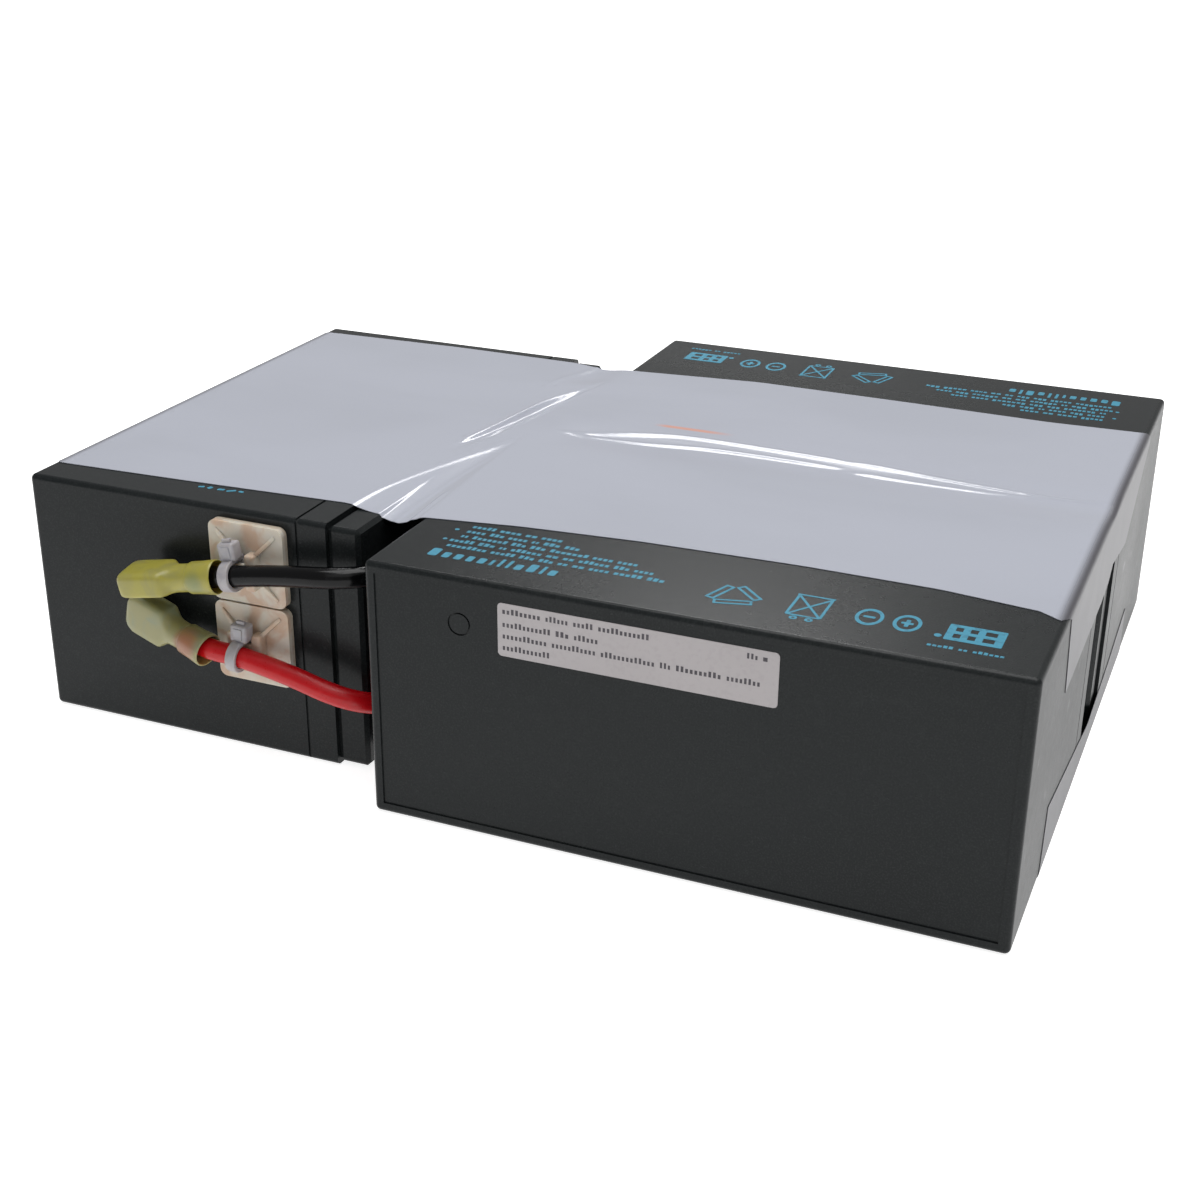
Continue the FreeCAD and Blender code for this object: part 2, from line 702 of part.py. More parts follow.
def route_edges(points):
    """Join the route's points by straight runs with a tangent arc at each turn."""
    spots = [Vector(*point) for point in points]
    edges_made = []
    radii = []
    start = spots[0]
    for before, corner, after in zip(spots, spots[1:], spots[2:]):
        inward = (before - corner).normalize()
        outward = (after - corner).normalize()
        half_turn = (math.pi - inward.getAngle(outward)) / 2
        reach = RUN_SHARE * min((corner - before).Length, (after - corner).Length)
        radius = reach / math.tan(half_turn)
        middle = corner + (inward + outward).normalize() * (radius / math.cos(half_turn) - radius)
        entry = corner + inward * reach
        leave = corner + outward * reach
        edges_made.append(Part.LineSegment(start, entry).toShape())
        edges_made.append(Part.Arc(entry, middle, leave).toShape())
        radii.append(round(radius, 1))
        start = leave
    edges_made.append(Part.LineSegment(start, spots[-1]).toShape())
    return edges_made, radii


def make_lead(label, route, diameter_alias):
    """Sweep a round section along a route and compare its volume with section times length."""
    radius = size(diameter_alias) / 2
    path_edges, radii = route_edges(route)
    path = Part.Wire(path_edges)
    heading = Vector(*route[1]) - Vector(*route[0])
    section = Part.Wire([Part.makeCircle(radius, Vector(*route[0]), heading)])
    tube = path.makePipeShell([section], True, True)
    expected = math.pi * radius ** 2 * path.Length
    if abs(tube.Volume / expected - 1) > 0.01:
        raise RuntimeError(f"{label}: volume {tube.Volume:.0f}, expected {expected:.0f}")
    lead = document.addObject("Part::Feature", label)
    lead.Shape = tube
    keep(lead, label, Placement())
    print(f"{label}: length {path.Length:.1f} mm, bend radii {radii}")


def make_leads():
    make_lead("black_lead", BLACK_LEAD_ROUTE, "lead_diameter")
    make_lead("red_lead", RED_LEAD_ROUTE, "lead_diameter")
    make_lead("jumper_a_b", JUMPER_AB_ROUTE, "jumper_diameter")
    make_lead("jumper_b_c", JUMPER_BC_ROUTE, "jumper_diameter")


# ---------------------------------------------------------------- lead connectors

def revolve_outline(body, name, outline):
    """Spin a closed outline, given as pairs of formulas (along, radius), about the X axis."""
    sketch = new_sketch(body, name + "_sketch", "0", "XZ_Plane")
    count = len(outline)
    for corner in range(count):
        start = Vector(corner, 1 + corner % 3, 0)
        end = Vector((corner + 1) % count, 1 + (corner + 1) % count % 3, 0)
        sketch.addGeometry(Part.LineSegment(start, end))
    for corner in range(count):
        sketch.addConstraint(Sketcher.Constraint("Coincident", corner, 2, (corner + 1) % count, 1))
        for kind, formula in zip(("DistanceX", "DistanceY"), outline[corner]):
            index = sketch.addConstraint(Sketcher.Constraint(kind, -1, 1, corner, 1, 1.0))
            bind(sketch, f"Constraints[{index}]", formula)
    return sketch


def make_sleeve(label, placement):
    """Yellow sleeve: a flat head open at its tip, a neck and a flared, funnelled mouth."""
    body = new_body(label)
    head = block(body, "head", "-head_thickness / 2", "0", "-head_width / 2", "head_length",
                 "head_width", "head_thickness")
    side = size("head_width") / 2
    tip = chamfer(body, "head_tip", head,
                  lambda box: box.XMax < 0.01 and abs(box.YMin) > side - 0.01 and box.ZLength > 1,
                  "head_chamfer")
    half = size("head_thickness") / 2
    fillet(body, "head_round", tip,
           lambda box: abs(box.ZMin) > half - 0.01 and box.ZLength < 1, "head_radius")
    outline = [("head_length - 1", "0"), ("head_length - 1", "neck_radius"), ("neck_end", "neck_radius"),
               ("neck_end + 1", "flare_radius"), ("sleeve_length", "mouth_radius"), ("sleeve_length", "0")]
    barrel = body.newObject("PartDesign::Revolution", "barrel")
    barrel.Profile = revolve_outline(body, "barrel", outline)
    barrel.ReferenceAxis = (origin_item(body, "X_Axis"), [""])
    document.recompute()
    block_pocket(body, "tip_slot", "-slot_height / 2", "0", "-slot_width / 2", "slot_depth",
                 "slot_width", "slot_height")
    funnel = [("slot_depth - 1", "0"), ("slot_depth - 1", "funnel_radius"),
              ("sleeve_length - funnel_depth", "funnel_radius"), ("sleeve_length", "funnel_mouth"),
              ("sleeve_length", "0")]
    hollow = body.newObject("PartDesign::Groove", "funnel")
    hollow.Profile = revolve_outline(body, "funnel", funnel)
    hollow.ReferenceAxis = (origin_item(body, "X_Axis"), [""])
    document.recompute()
    keep(body, label, placement)


def make_socket(label, placement):
    """Brass receptacle inside the sleeve: a flat socket for the blade and a round crimp."""
    width = size("socket_width")
    height = size("socket_height")
    slot = size("tab_width") + size("tab_clearance")
    narrow = size("tab_thickness") + size("tab_clearance")
    start = 1.0
    crimp_start = size("slot_depth") - size("tab_clearance")
    body = solid("Box", label + "_body", (start, -width / 2, -height / 2), Length="socket_length",
                 Width="socket_width", Height="socket_height")
    crimp = solid("Cylinder", label + "_crimp", (start + size("socket_length") - 1, 0, 0),
                  Rotation(Vector(0, 1, 0), 90), Radius="funnel_radius - tab_clearance",
                  Height="sleeve_length - funnel_depth - socket_length")
    room = solid("Box", label + "_room", (start, -width / 2 - 1, -height / 2 - 1),
                 Length=crimp_start - start, Width="socket_width + 2", Height="socket_height + 2")
    hole = solid("Box", label + "_hole", (start, -slot / 2, -narrow / 2), Length="socket_length - 1",
                 Width="tab_width + tab_clearance", Height="tab_thickness + tab_clearance")
    barrel = cut(label + "_barrel", crimp, room)
    socket = cut(label + "_socket", body, hole)
    keep(fuse(label + "_joined", [socket, barrel]), label, placement)


def make_connectors():
    """Put a sleeve and its receptacle on the free end of each lead."""
    for prefix, (tip, mouth, roll) in (("black", BLACK_CONNECTOR), ("red", RED_CONNECTOR)):
        heading = Vector(*mouth) - Vector(*tip)
        across = Vector(0, 0, 1).cross(heading)
        upright = Rotation(heading, across, Vector(0, 0, 1), "XZY")
        turn = upright * Rotation(Vector(1, 0, 0), 90 - roll)
        placement = Placement(Vector(*tip), turn)
        make_sleeve(prefix + "_lead_sleeve", placement)
        make_socket(prefix + "_lead_receptacle", placement)


# ---------------------------------------------------------------- tie mounts and ties

def box_from(name, low, high):
    """A box between two corners whose coordinates are formulas."""
    sides = [f"({top}) - ({bottom})" for bottom, top in zip(low, high)]
    thing = solid("Box", name, (0, 0, 0), None, Length=sides[0], Width=sides[1], Height=sides[2])
    for axis, bottom in zip("xyz", low):
        bind(thing, f".Placement.Base.{axis}", bottom)
    return thing


def make_tie_mount(name, crossing):
    """Foam pad and square base with a bridge that the tie passes under."""
    lead = "lead_diameter / 2 + tie_clearance"
    face = "(lead_stand_off - foam_thickness - mount_thickness)"
    low_corner = ("mount_shift - mount_size / 2", "mount_lift - mount_size / 2")
    high_corner = ("mount_shift + mount_size / 2", "mount_lift + mount_size / 2")
    foam = box_from(f"foam_{name}", (low_corner[0], f"{face} + mount_thickness", low_corner[1]),
                    (high_corner[0], "lead_stand_off", high_corner[1]))
    plate = box_from(f"plate_{name}", (low_corner[0], face, low_corner[1]),
                     (high_corner[0], f"{face} + mount_thickness", high_corner[1]))
    bridge = box_from(f"bridge_{name}", ("-bridge_length / 2", lead, "-bridge_half"),
                      ("bridge_length / 2", f"{face} + mount_thickness / 2", "bridge_half"))
    legs = box_from(f"legs_{name}", ("-bridge_length / 2", f"{lead} + bridge_thickness", "-leg_half"),
                    ("bridge_length / 2", f"{face} + mount_thickness / 2", "leg_half"))
    slot = box_from(f"slot_{name}", ("-tie_slot / 2", f"{lead} + bridge_thickness", "-leg_half"),
                    ("tie_slot / 2", face, "leg_half"))
    arch = cut(f"arch_{name}", fuse(f"rise_{name}", [bridge, legs]), slot)
    document.recompute()
    spot = Placement(Vector(*crossing), Rotation())
    for label, body, extras in (("mount_pad_", foam, []), ("tie_mount_", plate, [arch])):
        depth = body.Shape.BoundBox.YLength
        rounded = document.addObject("Part::Fillet", f"rounded_{label}{name}")
        rounded.Base = body
        radius = size("mount_radius")
        rounded.Edges = [(number, radius, radius)
                         for number, edge in enumerate(body.Shape.Edges, start=1)
                         if abs(edge.BoundBox.YLength - depth) < 0.01]
        keep(fuse(f"{label}{name}_whole", [rounded] + extras) if extras else rounded, label + name, spot)


def make_tie(name, crossing, rise):
    """Cable tie: a band round the lead and under the bridge, with its head above the lead."""
    inner = "(lead_diameter / 2 + tie_clearance)"
    outer = f"({inner} + tie_thickness)"
    face = "(lead_stand_off - foam_thickness - mount_thickness)"
    back = f"({face} - tie_clearance)"
    side = "tie_width / 2"
    loops = []
    for part, reach, depth in (("outer", outer, back), ("inner", inner, f"{back} - tie_thickness")):
        front = solid("Cylinder", f"{part}_front_{name}", (-size("tie_width") / 2, 0, 0),
                      Rotation(Vector(0, 1, 0), 90), Radius=reach, Height="tie_width")
        rear = box_from(f"{part}_rear_{name}", (f"-{side}", "0", f"-{reach}"), (side, depth, reach))
        loops.append(fuse(f"{part}_{name}", [front, rear]))
    band = cut(f"band_{name}", loops[0], loops[1])
    stem = box_from(f"stem_{name}", (f"-{side}", "tie_thickness", f"{outer} - tie_thickness / 2"),
                    (side, "2 * tie_thickness", f"{outer} + tie_thickness"))
    head = box_from(f"head_{name}", ("-tie_head_length / 2", "tie_clearance", f"{outer} + tie_thickness / 2"),
                    ("tie_head_length / 2", "tie_head_depth", f"{outer} + tie_head_height"))
    keep(fuse(f"tie_{name}", [band, stem, head]), "cable_tie_" + name,
         Placement(Vector(*crossing), Rotation(Vector(0, 1, 0), -rise)))


def make_harness_mounts():
    """Fasten each lead to the front face of battery C."""
    for name, (crossing, rise) in (("upper", UPPER_TIE), ("lower", LOWER_TIE)):
        make_tie_mount(name, crossing)
        make_tie(name, crossing, rise)


# ---------------------------------------------------------------- check and write

def check_document():
    """Stop at any object that failed or any sub-part without a valid solid shape."""
    document.recompute()
    for thing in document.Objects:
        if "Invalid" in thing.State or "Error" in thing.State:
            raise RuntimeError(f"{thing.Name}: {thing.State}")
    for piece in subparts:
        shape = piece.Shape
        if shape.isNull() or not shape.isValid() or not shape.Solids:
            raise RuntimeError(f"{piece.Label} has no valid solid")


def write_parts():
    os.makedirs("parts", exist_ok=True)
    for piece in subparts:
        piece.Shape.exportStep(f"parts/{piece.Label}.step")
        print(f"{piece.Label}: {len(piece.Shape.Solids)} solids, {piece.Shape.Volume / 1000:.2f} cm3")


fill_sheet()
make_batteries()
make_films()
make_label()
make_leads()
make_connectors()
make_harness_mounts()
check_document()
write_parts()
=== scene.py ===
"""Looks of the backup battery pack: three sealed batteries on their sides, bound by film.

Shapes are drawn in millimetres in the pack's frame, +X along the pack, +Y to the back and
+Z up, and are turned into metres when a piece is finished.
"""

import logging
import math
from bisect import bisect_right
from dataclasses import dataclass, field
from enum import Enum
from typing import Mapping, Sequence, Union

import bmesh
import bpy
from mathutils import Matrix, Vector


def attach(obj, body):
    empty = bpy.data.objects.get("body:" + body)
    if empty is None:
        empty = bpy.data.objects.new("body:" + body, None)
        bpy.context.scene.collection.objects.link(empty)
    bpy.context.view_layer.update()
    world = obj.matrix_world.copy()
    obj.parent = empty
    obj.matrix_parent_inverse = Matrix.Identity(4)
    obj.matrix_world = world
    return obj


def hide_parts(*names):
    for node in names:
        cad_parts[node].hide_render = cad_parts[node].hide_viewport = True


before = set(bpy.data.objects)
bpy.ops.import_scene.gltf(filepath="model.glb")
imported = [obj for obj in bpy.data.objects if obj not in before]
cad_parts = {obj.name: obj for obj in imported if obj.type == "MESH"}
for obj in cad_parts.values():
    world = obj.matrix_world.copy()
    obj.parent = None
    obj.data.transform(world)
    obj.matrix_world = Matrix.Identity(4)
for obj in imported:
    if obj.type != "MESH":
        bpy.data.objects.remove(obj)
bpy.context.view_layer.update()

MM = 0.001
BODY = "root"
LOG = logging.getLogger("battery_pack")
# Vertices closer together than this, in millimetres, become one.
WELD = 1e-4
# The height of the middle of the print on a battery's upper side.
PRINT_LEVEL = 64.705
# The Mix node has a set of sockets for each kind of value. These are the ones for colours.
MIX_SHARE, MIX_FIRST, MIX_SECOND, MIX_RESULT = 0, 6, 7, 2

Colour = tuple[float, float, float, float]
Point2 = tuple[float, float]
Point3 = tuple[float, float, float]
# A ring round a sleeve's wall: its place, half width, half thickness and squareness.
Station = tuple[float, float, float, float]
Form = bmesh.types.BMesh
Vertex = bmesh.types.BMVert
Material = bpy.types.Material
Piece = bpy.types.Object
Socket = bpy.types.NodeSocket

EVEN: Point3 = (1, 1, 1)


def rgb(red: float, green: float, blue: float) -> Colour:
    """Return a linear colour from display values of 0 to 255."""
    def linear(value: float) -> float:
        """Return one display value as linear light."""
        share = value / 255
        return share / 12.92 if share <= 0.04045 else ((share + 0.055) / 1.055) ** 2.4

    return (linear(red), linear(green), linear(blue), 1.0)


def track(points: Sequence[Point2], at: float) -> float:
    """Read a line of (place, value) points, held level past its ends.

    Args:
        points: The points, in order of place.
        at: The place to read.

    Returns:
        The value there.
    """
    if at <= points[0][0]:
        return points[0][1]
    if at >= points[-1][0]:
        return points[-1][1]
    upper = bisect_right([place for place, _ in points], at)
    (start, low), (end, high) = points[upper - 1], points[upper]
    return low + (high - low) * (at - start) / (end - start)


def smooth(value: float) -> float:
    """Return a value held to 0 and 1, eased at both ends."""
    held = min(1.0, max(0.0, value))
    return held * held * (3 - 2 * held)


# ---------------------------------------------------------------- shader nodes


class Signal:
    """A number that a shader works out; ordinary arithmetic on it adds Math nodes."""

    def __init__(self, board: "Board", socket: Socket) -> None:
        """Wrap one output socket of a board's tree."""
        self.board = board
        self.socket = socket

    def __add__(self, other: "Number") -> "Signal":
        """Return self + other."""
        return self.board.maths("ADD", self, other)

    def __radd__(self, other: float) -> "Signal":
        """Return other + self."""
        return self.board.maths("ADD", other, self)

    def __sub__(self, other: "Number") -> "Signal":
        """Return self - other."""
        return self.board.maths("SUBTRACT", self, other)

    def __rsub__(self, other: float) -> "Signal":
        """Return other - self."""
        return self.board.maths("SUBTRACT", other, self)

    def __mul__(self, other: "Number") -> "Signal":
        """Return self * other."""
        return self.board.maths("MULTIPLY", self, other)

    def above(self, low: float, high: float) -> "Signal":
        """Return 0 below low and 1 above high, eased between them."""
        node = self.board.node(
            "ShaderNodeMapRange",
            {"interpolation_type": "SMOOTHSTEP"},
            {"Value": self, "From Min": low, "From Max": high},
        )
        return Signal(self.board, node.outputs["Result"])


Number = Union[Signal, float]
Entry = Union[Signal, Socket, float, Colour, Point3]


class Board:
    """The node tree of one material, with one way to add a node."""

    def __init__(self, name: str) -> None:
        """Start an empty material of that name."""
        self.material = bpy.data.materials.new(name)
        self.material.use_nodes = True
        self.tree = self.material.node_tree
        self.tree.nodes.clear()

    def node(
        self,
        kind: str,
        settings: Mapping[str, object] | None = None,
        entries: Mapping[Union[str, int], Entry] | None = None,
    ) -> bpy.types.Node:
        """Add a node.

        Args:
            kind: The node's type.
            settings: Its own settings, set before anything is joined to it.
            entries: A value or a link for each socket that needs one.

        Returns:
            The new node.
        """
        made = self.tree.nodes.new(kind)
        for key, value in (settings or {}).items():
            setattr(made, key, value)
        for key, value in (entries or {}).items():
            socket = made.inputs[key]
            if isinstance(value, Signal):
                self.tree.links.new(value.socket, socket)
            elif isinstance(value, bpy.types.NodeSocket):
                self.tree.links.new(value, socket)
            else:
                socket.default_value = value
        return made

    def maths(self, operation: str, first: Number, second: Number) -> Signal:
        """Return the result of one Math node."""
        node = self.node("ShaderNodeMath", {"operation": operation}, {0: first, 1: second})
        return Signal(self, node.outputs[0])

    def place(self, stretch: Point3 = EVEN) -> Socket:
        """Return the place on the piece, in metres, stretched along each axis."""
        where = self.node("ShaderNodeTexCoord").outputs["Object"]
        entries = {"Vector": where, "Scale": stretch}
        return self.node("ShaderNodeMapping", None, entries).outputs["Vector"]

    def axis(self, name: str) -> Signal:
        """Return the place along one axis, X, Y or Z, in millimetres."""
        parts = self.node("ShaderNodeSeparateXYZ", None, {"Vector": self.place()})
        return Signal(self, parts.outputs[name]) * (1 / MM)

    def ends(self, zone: Point2) -> Signal:
        """Return 0 along the middle of the pack and 1 over its two ends.

        Args:
            zone: The squares of the distances from the middle, in millimetres, where it leaves
                0 and where it reaches 1.

        Returns:
            The share, eased between them.
        """
        along = self.axis("X")
        return (along * along).above(*zone)

    def noise(
        self, scale: float, detail: float, stretch: Point3 = EVEN, twist: float = 0.0
    ) -> Signal:
        """Return soft noise.

        Args:
            scale: Repeats in a metre.
            detail: How many finer layers it has.
            stretch: How much closer it repeats along each axis.
            twist: How far the pattern is bent over itself.

        Returns:
            The noise, mostly from 0.3 to 0.7.
        """
        entries = {
            "Vector": self.place(stretch), "Scale": scale, "Detail": detail, "Distortion": twist,
        }
        return Signal(self, self.node("ShaderNodeTexNoise", None, entries).outputs["Fac"])

    def cells(self, scale: float) -> Signal:
        """Return the distance to the nearest of many scattered points."""
        entries = {"Vector": self.place(), "Scale": scale}
        return Signal(self, self.node("ShaderNodeTexVoronoi", None, entries).outputs["Distance"])

    def mix(self, share: Signal, first: Entry, second: Entry) -> Socket:
        """Return first where share is 0 and second where it is 1."""
        settings = {"data_type": "RGBA", "clamp_factor": True}
        entries = {MIX_SHARE: share, MIX_FIRST: first, MIX_SECOND: second}
        return self.node("ShaderNodeMix", settings, entries).outputs[MIX_RESULT]

    def bump(self, height: Signal, depth: float, strength: float = 1.0) -> Socket:
        """Return a normal for a height of 0 to 1 that is depth millimetres deep."""
        entries = {"Height": height, "Distance": depth * MM, "Strength": strength}
        return self.node("ShaderNodeBump", None, entries).outputs["Normal"]

    def finish(self, entries: Mapping[str, Entry]) -> Material:
        """Close the tree with a Principled shader and return the material."""
        shader = self.node("ShaderNodeBsdfPrincipled", None, entries)
        self.node("ShaderNodeOutputMaterial", None, {"Surface": shader.outputs["BSDF"]})
        return self.material


# ---------------------------------------------------------------- finishes


@dataclass(frozen=True)
class MouldedCase:
    """Dark moulded plastic with a fine eroded grain, a bloom of dust and rubbed streaks."""

    name: str
    colour: Colour
    dusty: Colour
    roughness: float
    specular: float
    grain_depth: float = 0.03
    end_wear: float = 0.12
    end_zone: Point2 = (15900, 16230)

    def make(self) -> Material:
        """Return the material."""
        board = Board(self.name)
        grain = board.noise(2300, 2)
        mottle = board.noise(420, 4, twist=0.4)
        bloom = board.noise(9, 2, twist=0.3).above(0.35, 0.75)
        streak = board.noise(60, 3, (0.25, 2.2, 2.2)).above(0.62, 0.78)
        dust = bloom * 0.12 + grain.above(0.45, 0.7) * 0.3
        dust = dust + mottle.above(0.5, 0.8) * 0.12 + streak * 0.1
        handled = board.ends(self.end_zone) * self.end_wear
        rough = self.roughness + bloom * 0.07 + mottle * 0.08 - streak * 0.06
        return board.finish({
            "Base Color": board.mix(dust, self.colour, self.dusty),
            "Roughness": rough + handled,
            "Specular IOR Level": self.specular,
            "Normal": board.bump(grain * 0.7 + mottle * 0.6, self.grain_depth),
        })


@dataclass(frozen=True)
class WrapFilm:
    """Milky glossy film, tinted where a jumper lies close under it; over the ends it is rougher and
    painted darker, as painted shade on the end flaps.
    """

    name: str
    colour: Colour
    shaded: Colour
    # thin: the colour over the ends, painted shade on the flaps folded over the pack's ends.
    thin: Colour
    tint: Colour
    tint_run: Point2
    tint_y: float
    tint_spread: float = 1.3
    end_zone: Point2 = (15500, 16200)

    def make(self) -> Material:
        """Return the material."""
        board = Board(self.name)
        clouds = board.noise(11, 3, (1, 1.6, 1.6), 0.5)
        pull = board.noise(70, 2, (0.12, 1, 1))
        speck = board.noise(1500, 2)
        along = board.axis("X")
        across = board.axis("Y") - self.tint_y
        start, end = self.tint_run
        started = along.above(start - 2.5, start + 2.5)
        ended = along.above(end - 5, end + 5)
        near = 1 - (across * across * (1 / self.tint_spread ** 2)).above(0, 1)
        seen = started * (1 - ended) * near * board.axis("Z").above(50, 60)
        milky = board.mix(clouds.above(0.35, 0.7) * 0.55 + speck * 0.25, self.colour, self.shaded)
        # Painted shade: the share of the dark end colour, 1 over the end flaps.
        ends = board.ends(self.end_zone) * (0.92 + pull * 0.08)
        return board.finish({
            # The dark end colour is mixed in last, as painted shade over the ends.
            "Base Color": board.mix(ends, board.mix(seen * 0.85, milky, self.tint), self.thin),
            "Roughness": 0.085 + clouds * 0.04 + speck * 0.02 + ends * 0.3,
            "Specular IOR Level": 0.55,
            "Normal": board.bump(pull * 0.6 + clouds * 0.8, 0.08, 0.4),
        })


@dataclass(frozen=True)
class Insulation:
    """Glossy vinyl insulation, slightly wavy along its length."""

    name: str
    colour: Colour
    worn: Colour
    roughness: float
    specular: float

    def make(self) -> Material:
        """Return the material."""
        board = Board(self.name)
        wave = board.noise(95, 2)
        haze = board.noise(340, 3, twist=0.5)
        fine = board.noise(2600, 2)
        scuff = haze.above(0.52, 0.75)
        return board.finish({
            "Base Color": board.mix(scuff * 0.45 + fine * 0.12, self.colour, self.worn),
            "Roughness": self.roughness + scuff * 0.16 + fine * 0.04,
            "Specular IOR Level": self.specular,
            "Normal": board.bump(wave + haze * 0.35, 0.14, 0.6),
        })


@dataclass(frozen=True)
class Nylon:
    """Moulded nylon that light soaks into, cloudy, with what lies inside showing faintly."""

    name: str
    colour: Colour
    patch: Colour
    patch_scale: float
    patch_share: float
    roughness: float
    soak: float
    inside: Colour = (0.5, 0.5, 0.5, 1.0)
    inside_at: Point3 = (0.0, 0.0, 0.0)
    inside_reach: float = 0.0

    def make(self) -> Material:
        """Return the material."""
        board = Board(self.name)
        cloud = board.noise(self.patch_scale, 3, twist=0.8).above(0.44, 0.64)
        fine = board.noise(1400, 3)
        ripple = board.noise(260, 2)
        base = board.mix(cloud * self.patch_share + fine * 0.1, self.colour, self.patch)
        if self.inside_reach > 0:
            gaps = [board.axis(name) - centre for name, centre in zip("XYZ", self.inside_at)]
            away = gaps[0] * gaps[0] + gaps[1] * gaps[1] + gaps[2] * gaps[2]
            seen = 1 - (away * (1 / self.inside_reach ** 2)).above(0.1, 1.0)
            base = board.mix(seen * 0.75, base, self.inside)
        return board.finish({
            "Base Color": base,
            "Roughness": self.roughness + cloud * 0.08 + fine * 0.1,
            "Subsurface Weight": self.soak,
            "Subsurface Radius": (1.0, 0.8, 0.5),
            "Subsurface Scale": 2.0 * MM,
            "Coat Weight": 0.1,
            "Normal": board.bump(ripple + fine * 0.3, 0.08, 0.6),
        })


@dataclass(frozen=True)
class Fibrous:
    """Paper, foam or glass mat: dull, speckled and slightly uneven."""

    name: str
    colour: Colour
    fleck: Colour
    scale: float
    roughness: float
    depth: float
    stretch: Point3 = EVEN

    def make(self) -> Material:
        """Return the material."""
        board = Board(self.name)
        fibre = board.noise(self.scale, 4, self.stretch, 0.3)
        pores = board.cells(self.scale * 1.6)
        cloud = board.noise(self.scale / 22, 3)
        flecks = fibre.above(0.48, 0.7) * 0.5 + cloud.above(0.4, 0.7) * 0.35
        return board.finish({
            "Base Color": board.mix(flecks, self.colour, self.fleck),
            "Roughness": self.roughness + fibre * 0.1,
            "Specular IOR Level": 0.35,
            "Normal": board.bump(fibre * 0.6 + pores * 0.5, self.depth, 0.7),
        })


@dataclass(frozen=True)
class Ink:
    """Screen-printed ink, a little thin in places."""

    name: str
    colour: Colour
    thin: Colour
    roughness: float = 0.45

    def make(self) -> Material:
        """Return the material."""
        board = Board(self.name)
        patch = board.noise(700, 3)
        grain = board.noise(2600, 2)
        worn = patch.above(0.5, 0.72) * 0.5 + grain * 0.2
        return board.finish({
            "Base Color": board.mix(worn, self.colour, self.thin),
            "Roughness": self.roughness + grain * 0.12,
            "Specular IOR Level": 0.3,
            "Normal": board.bump(grain, 0.02),
        })


@dataclass(frozen=True)
class Metal:
    """Cast or rolled metal with a drawn grain and dull patches."""

    name: str
    colour: Colour
    dull: Colour
    roughness: float
    metallic: float = 1.0
    stretch: Point3 = (1, 1, 6)

    def make(self) -> Material:
        """Return the material."""
        board = Board(self.name)
        drawn = board.noise(700, 3, self.stretch)
        patch = board.noise(140, 4, twist=0.6).above(0.42, 0.7)
        return board.finish({
            "Base Color": board.mix(patch * 0.7 + drawn * 0.2, self.colour, self.dull),
            "Metallic": self.metallic,
            "Roughness": self.roughness + patch * 0.2 + drawn * 0.12,
            "Normal": board.bump(drawn + patch * 0.5, 0.03),
        })


Finish = Union[MouldedCase, WrapFilm, Insulation, Nylon, Fibrous, Ink, Metal]

CASE = MouldedCase("case_plastic", rgb(24, 27, 28), rgb(48, 51, 51), 0.19, 0.16)
COVER = MouldedCase("cover_plastic", rgb(30, 31, 31), rgb(56, 56, 55), 0.5, 0.16, 0.05)
# The third colour, the dark rgb(66, 64, 69), is painted shade on the film over the pack's ends.
FILM = WrapFilm(
    "binding_film_milky", rgb(170, 173, 184), rgb(162, 165, 175), rgb(66, 64, 69),
    rgb(206, 146, 125), (4.0, 21.0), 16.6,
)
BLACK_VINYL = Insulation("black_vinyl", rgb(4, 4, 5), rgb(10, 11, 13), 0.16, 0.22)
RED_VINYL = Insulation("red_vinyl", rgb(174, 7, 17), rgb(188, 28, 32), 0.26, 0.35)
YELLOW_NYLON = Nylon(
    "yellow_nylon", rgb(152, 145, 58), rgb(136, 132, 76), 130, 0.7, 0.3, 0.3,
    rgb(116, 126, 84), (-72.0, -95.0, 49.2), 3.4,
)
PALE_NYLON = Nylon(
    "pale_yellow_nylon", rgb(138, 134, 88), rgb(124, 132, 106), 120, 0.8, 0.3, 0.35,
    rgb(150, 84, 62), (-77.0, -93.5, 31.0), 5.0,
)
MOUNT_NYLON = Nylon("ivory_nylon", rgb(200, 194, 181), rgb(186, 152, 126), 130, 0.7, 0.45, 0.3)
TIE_NYLON = Nylon("natural_nylon", rgb(158, 155, 158), rgb(140, 136, 140), 300, 0.5, 0.4, 0.35)
LABEL = Fibrous("label_stock", rgb(168, 163, 164), rgb(160, 155, 156), 900, 0.42, 0.01)
FOAM = Fibrous("foam_tape_cells", rgb(186, 176, 160), rgb(164, 146, 124), 800, 0.8, 0.12)
GLASS_MAT = Fibrous(
    "glass_mat_fibre", rgb(226, 226, 220), rgb(196, 196, 188), 900, 0.8, 0.1, (1, 1, 0.1)
)
CYAN_INK = Ink("cyan_print", rgb(54, 136, 162), rgb(40, 96, 116))
GREY_INK = Ink("grey_print", rgb(66, 63, 68), rgb(92, 88, 92))

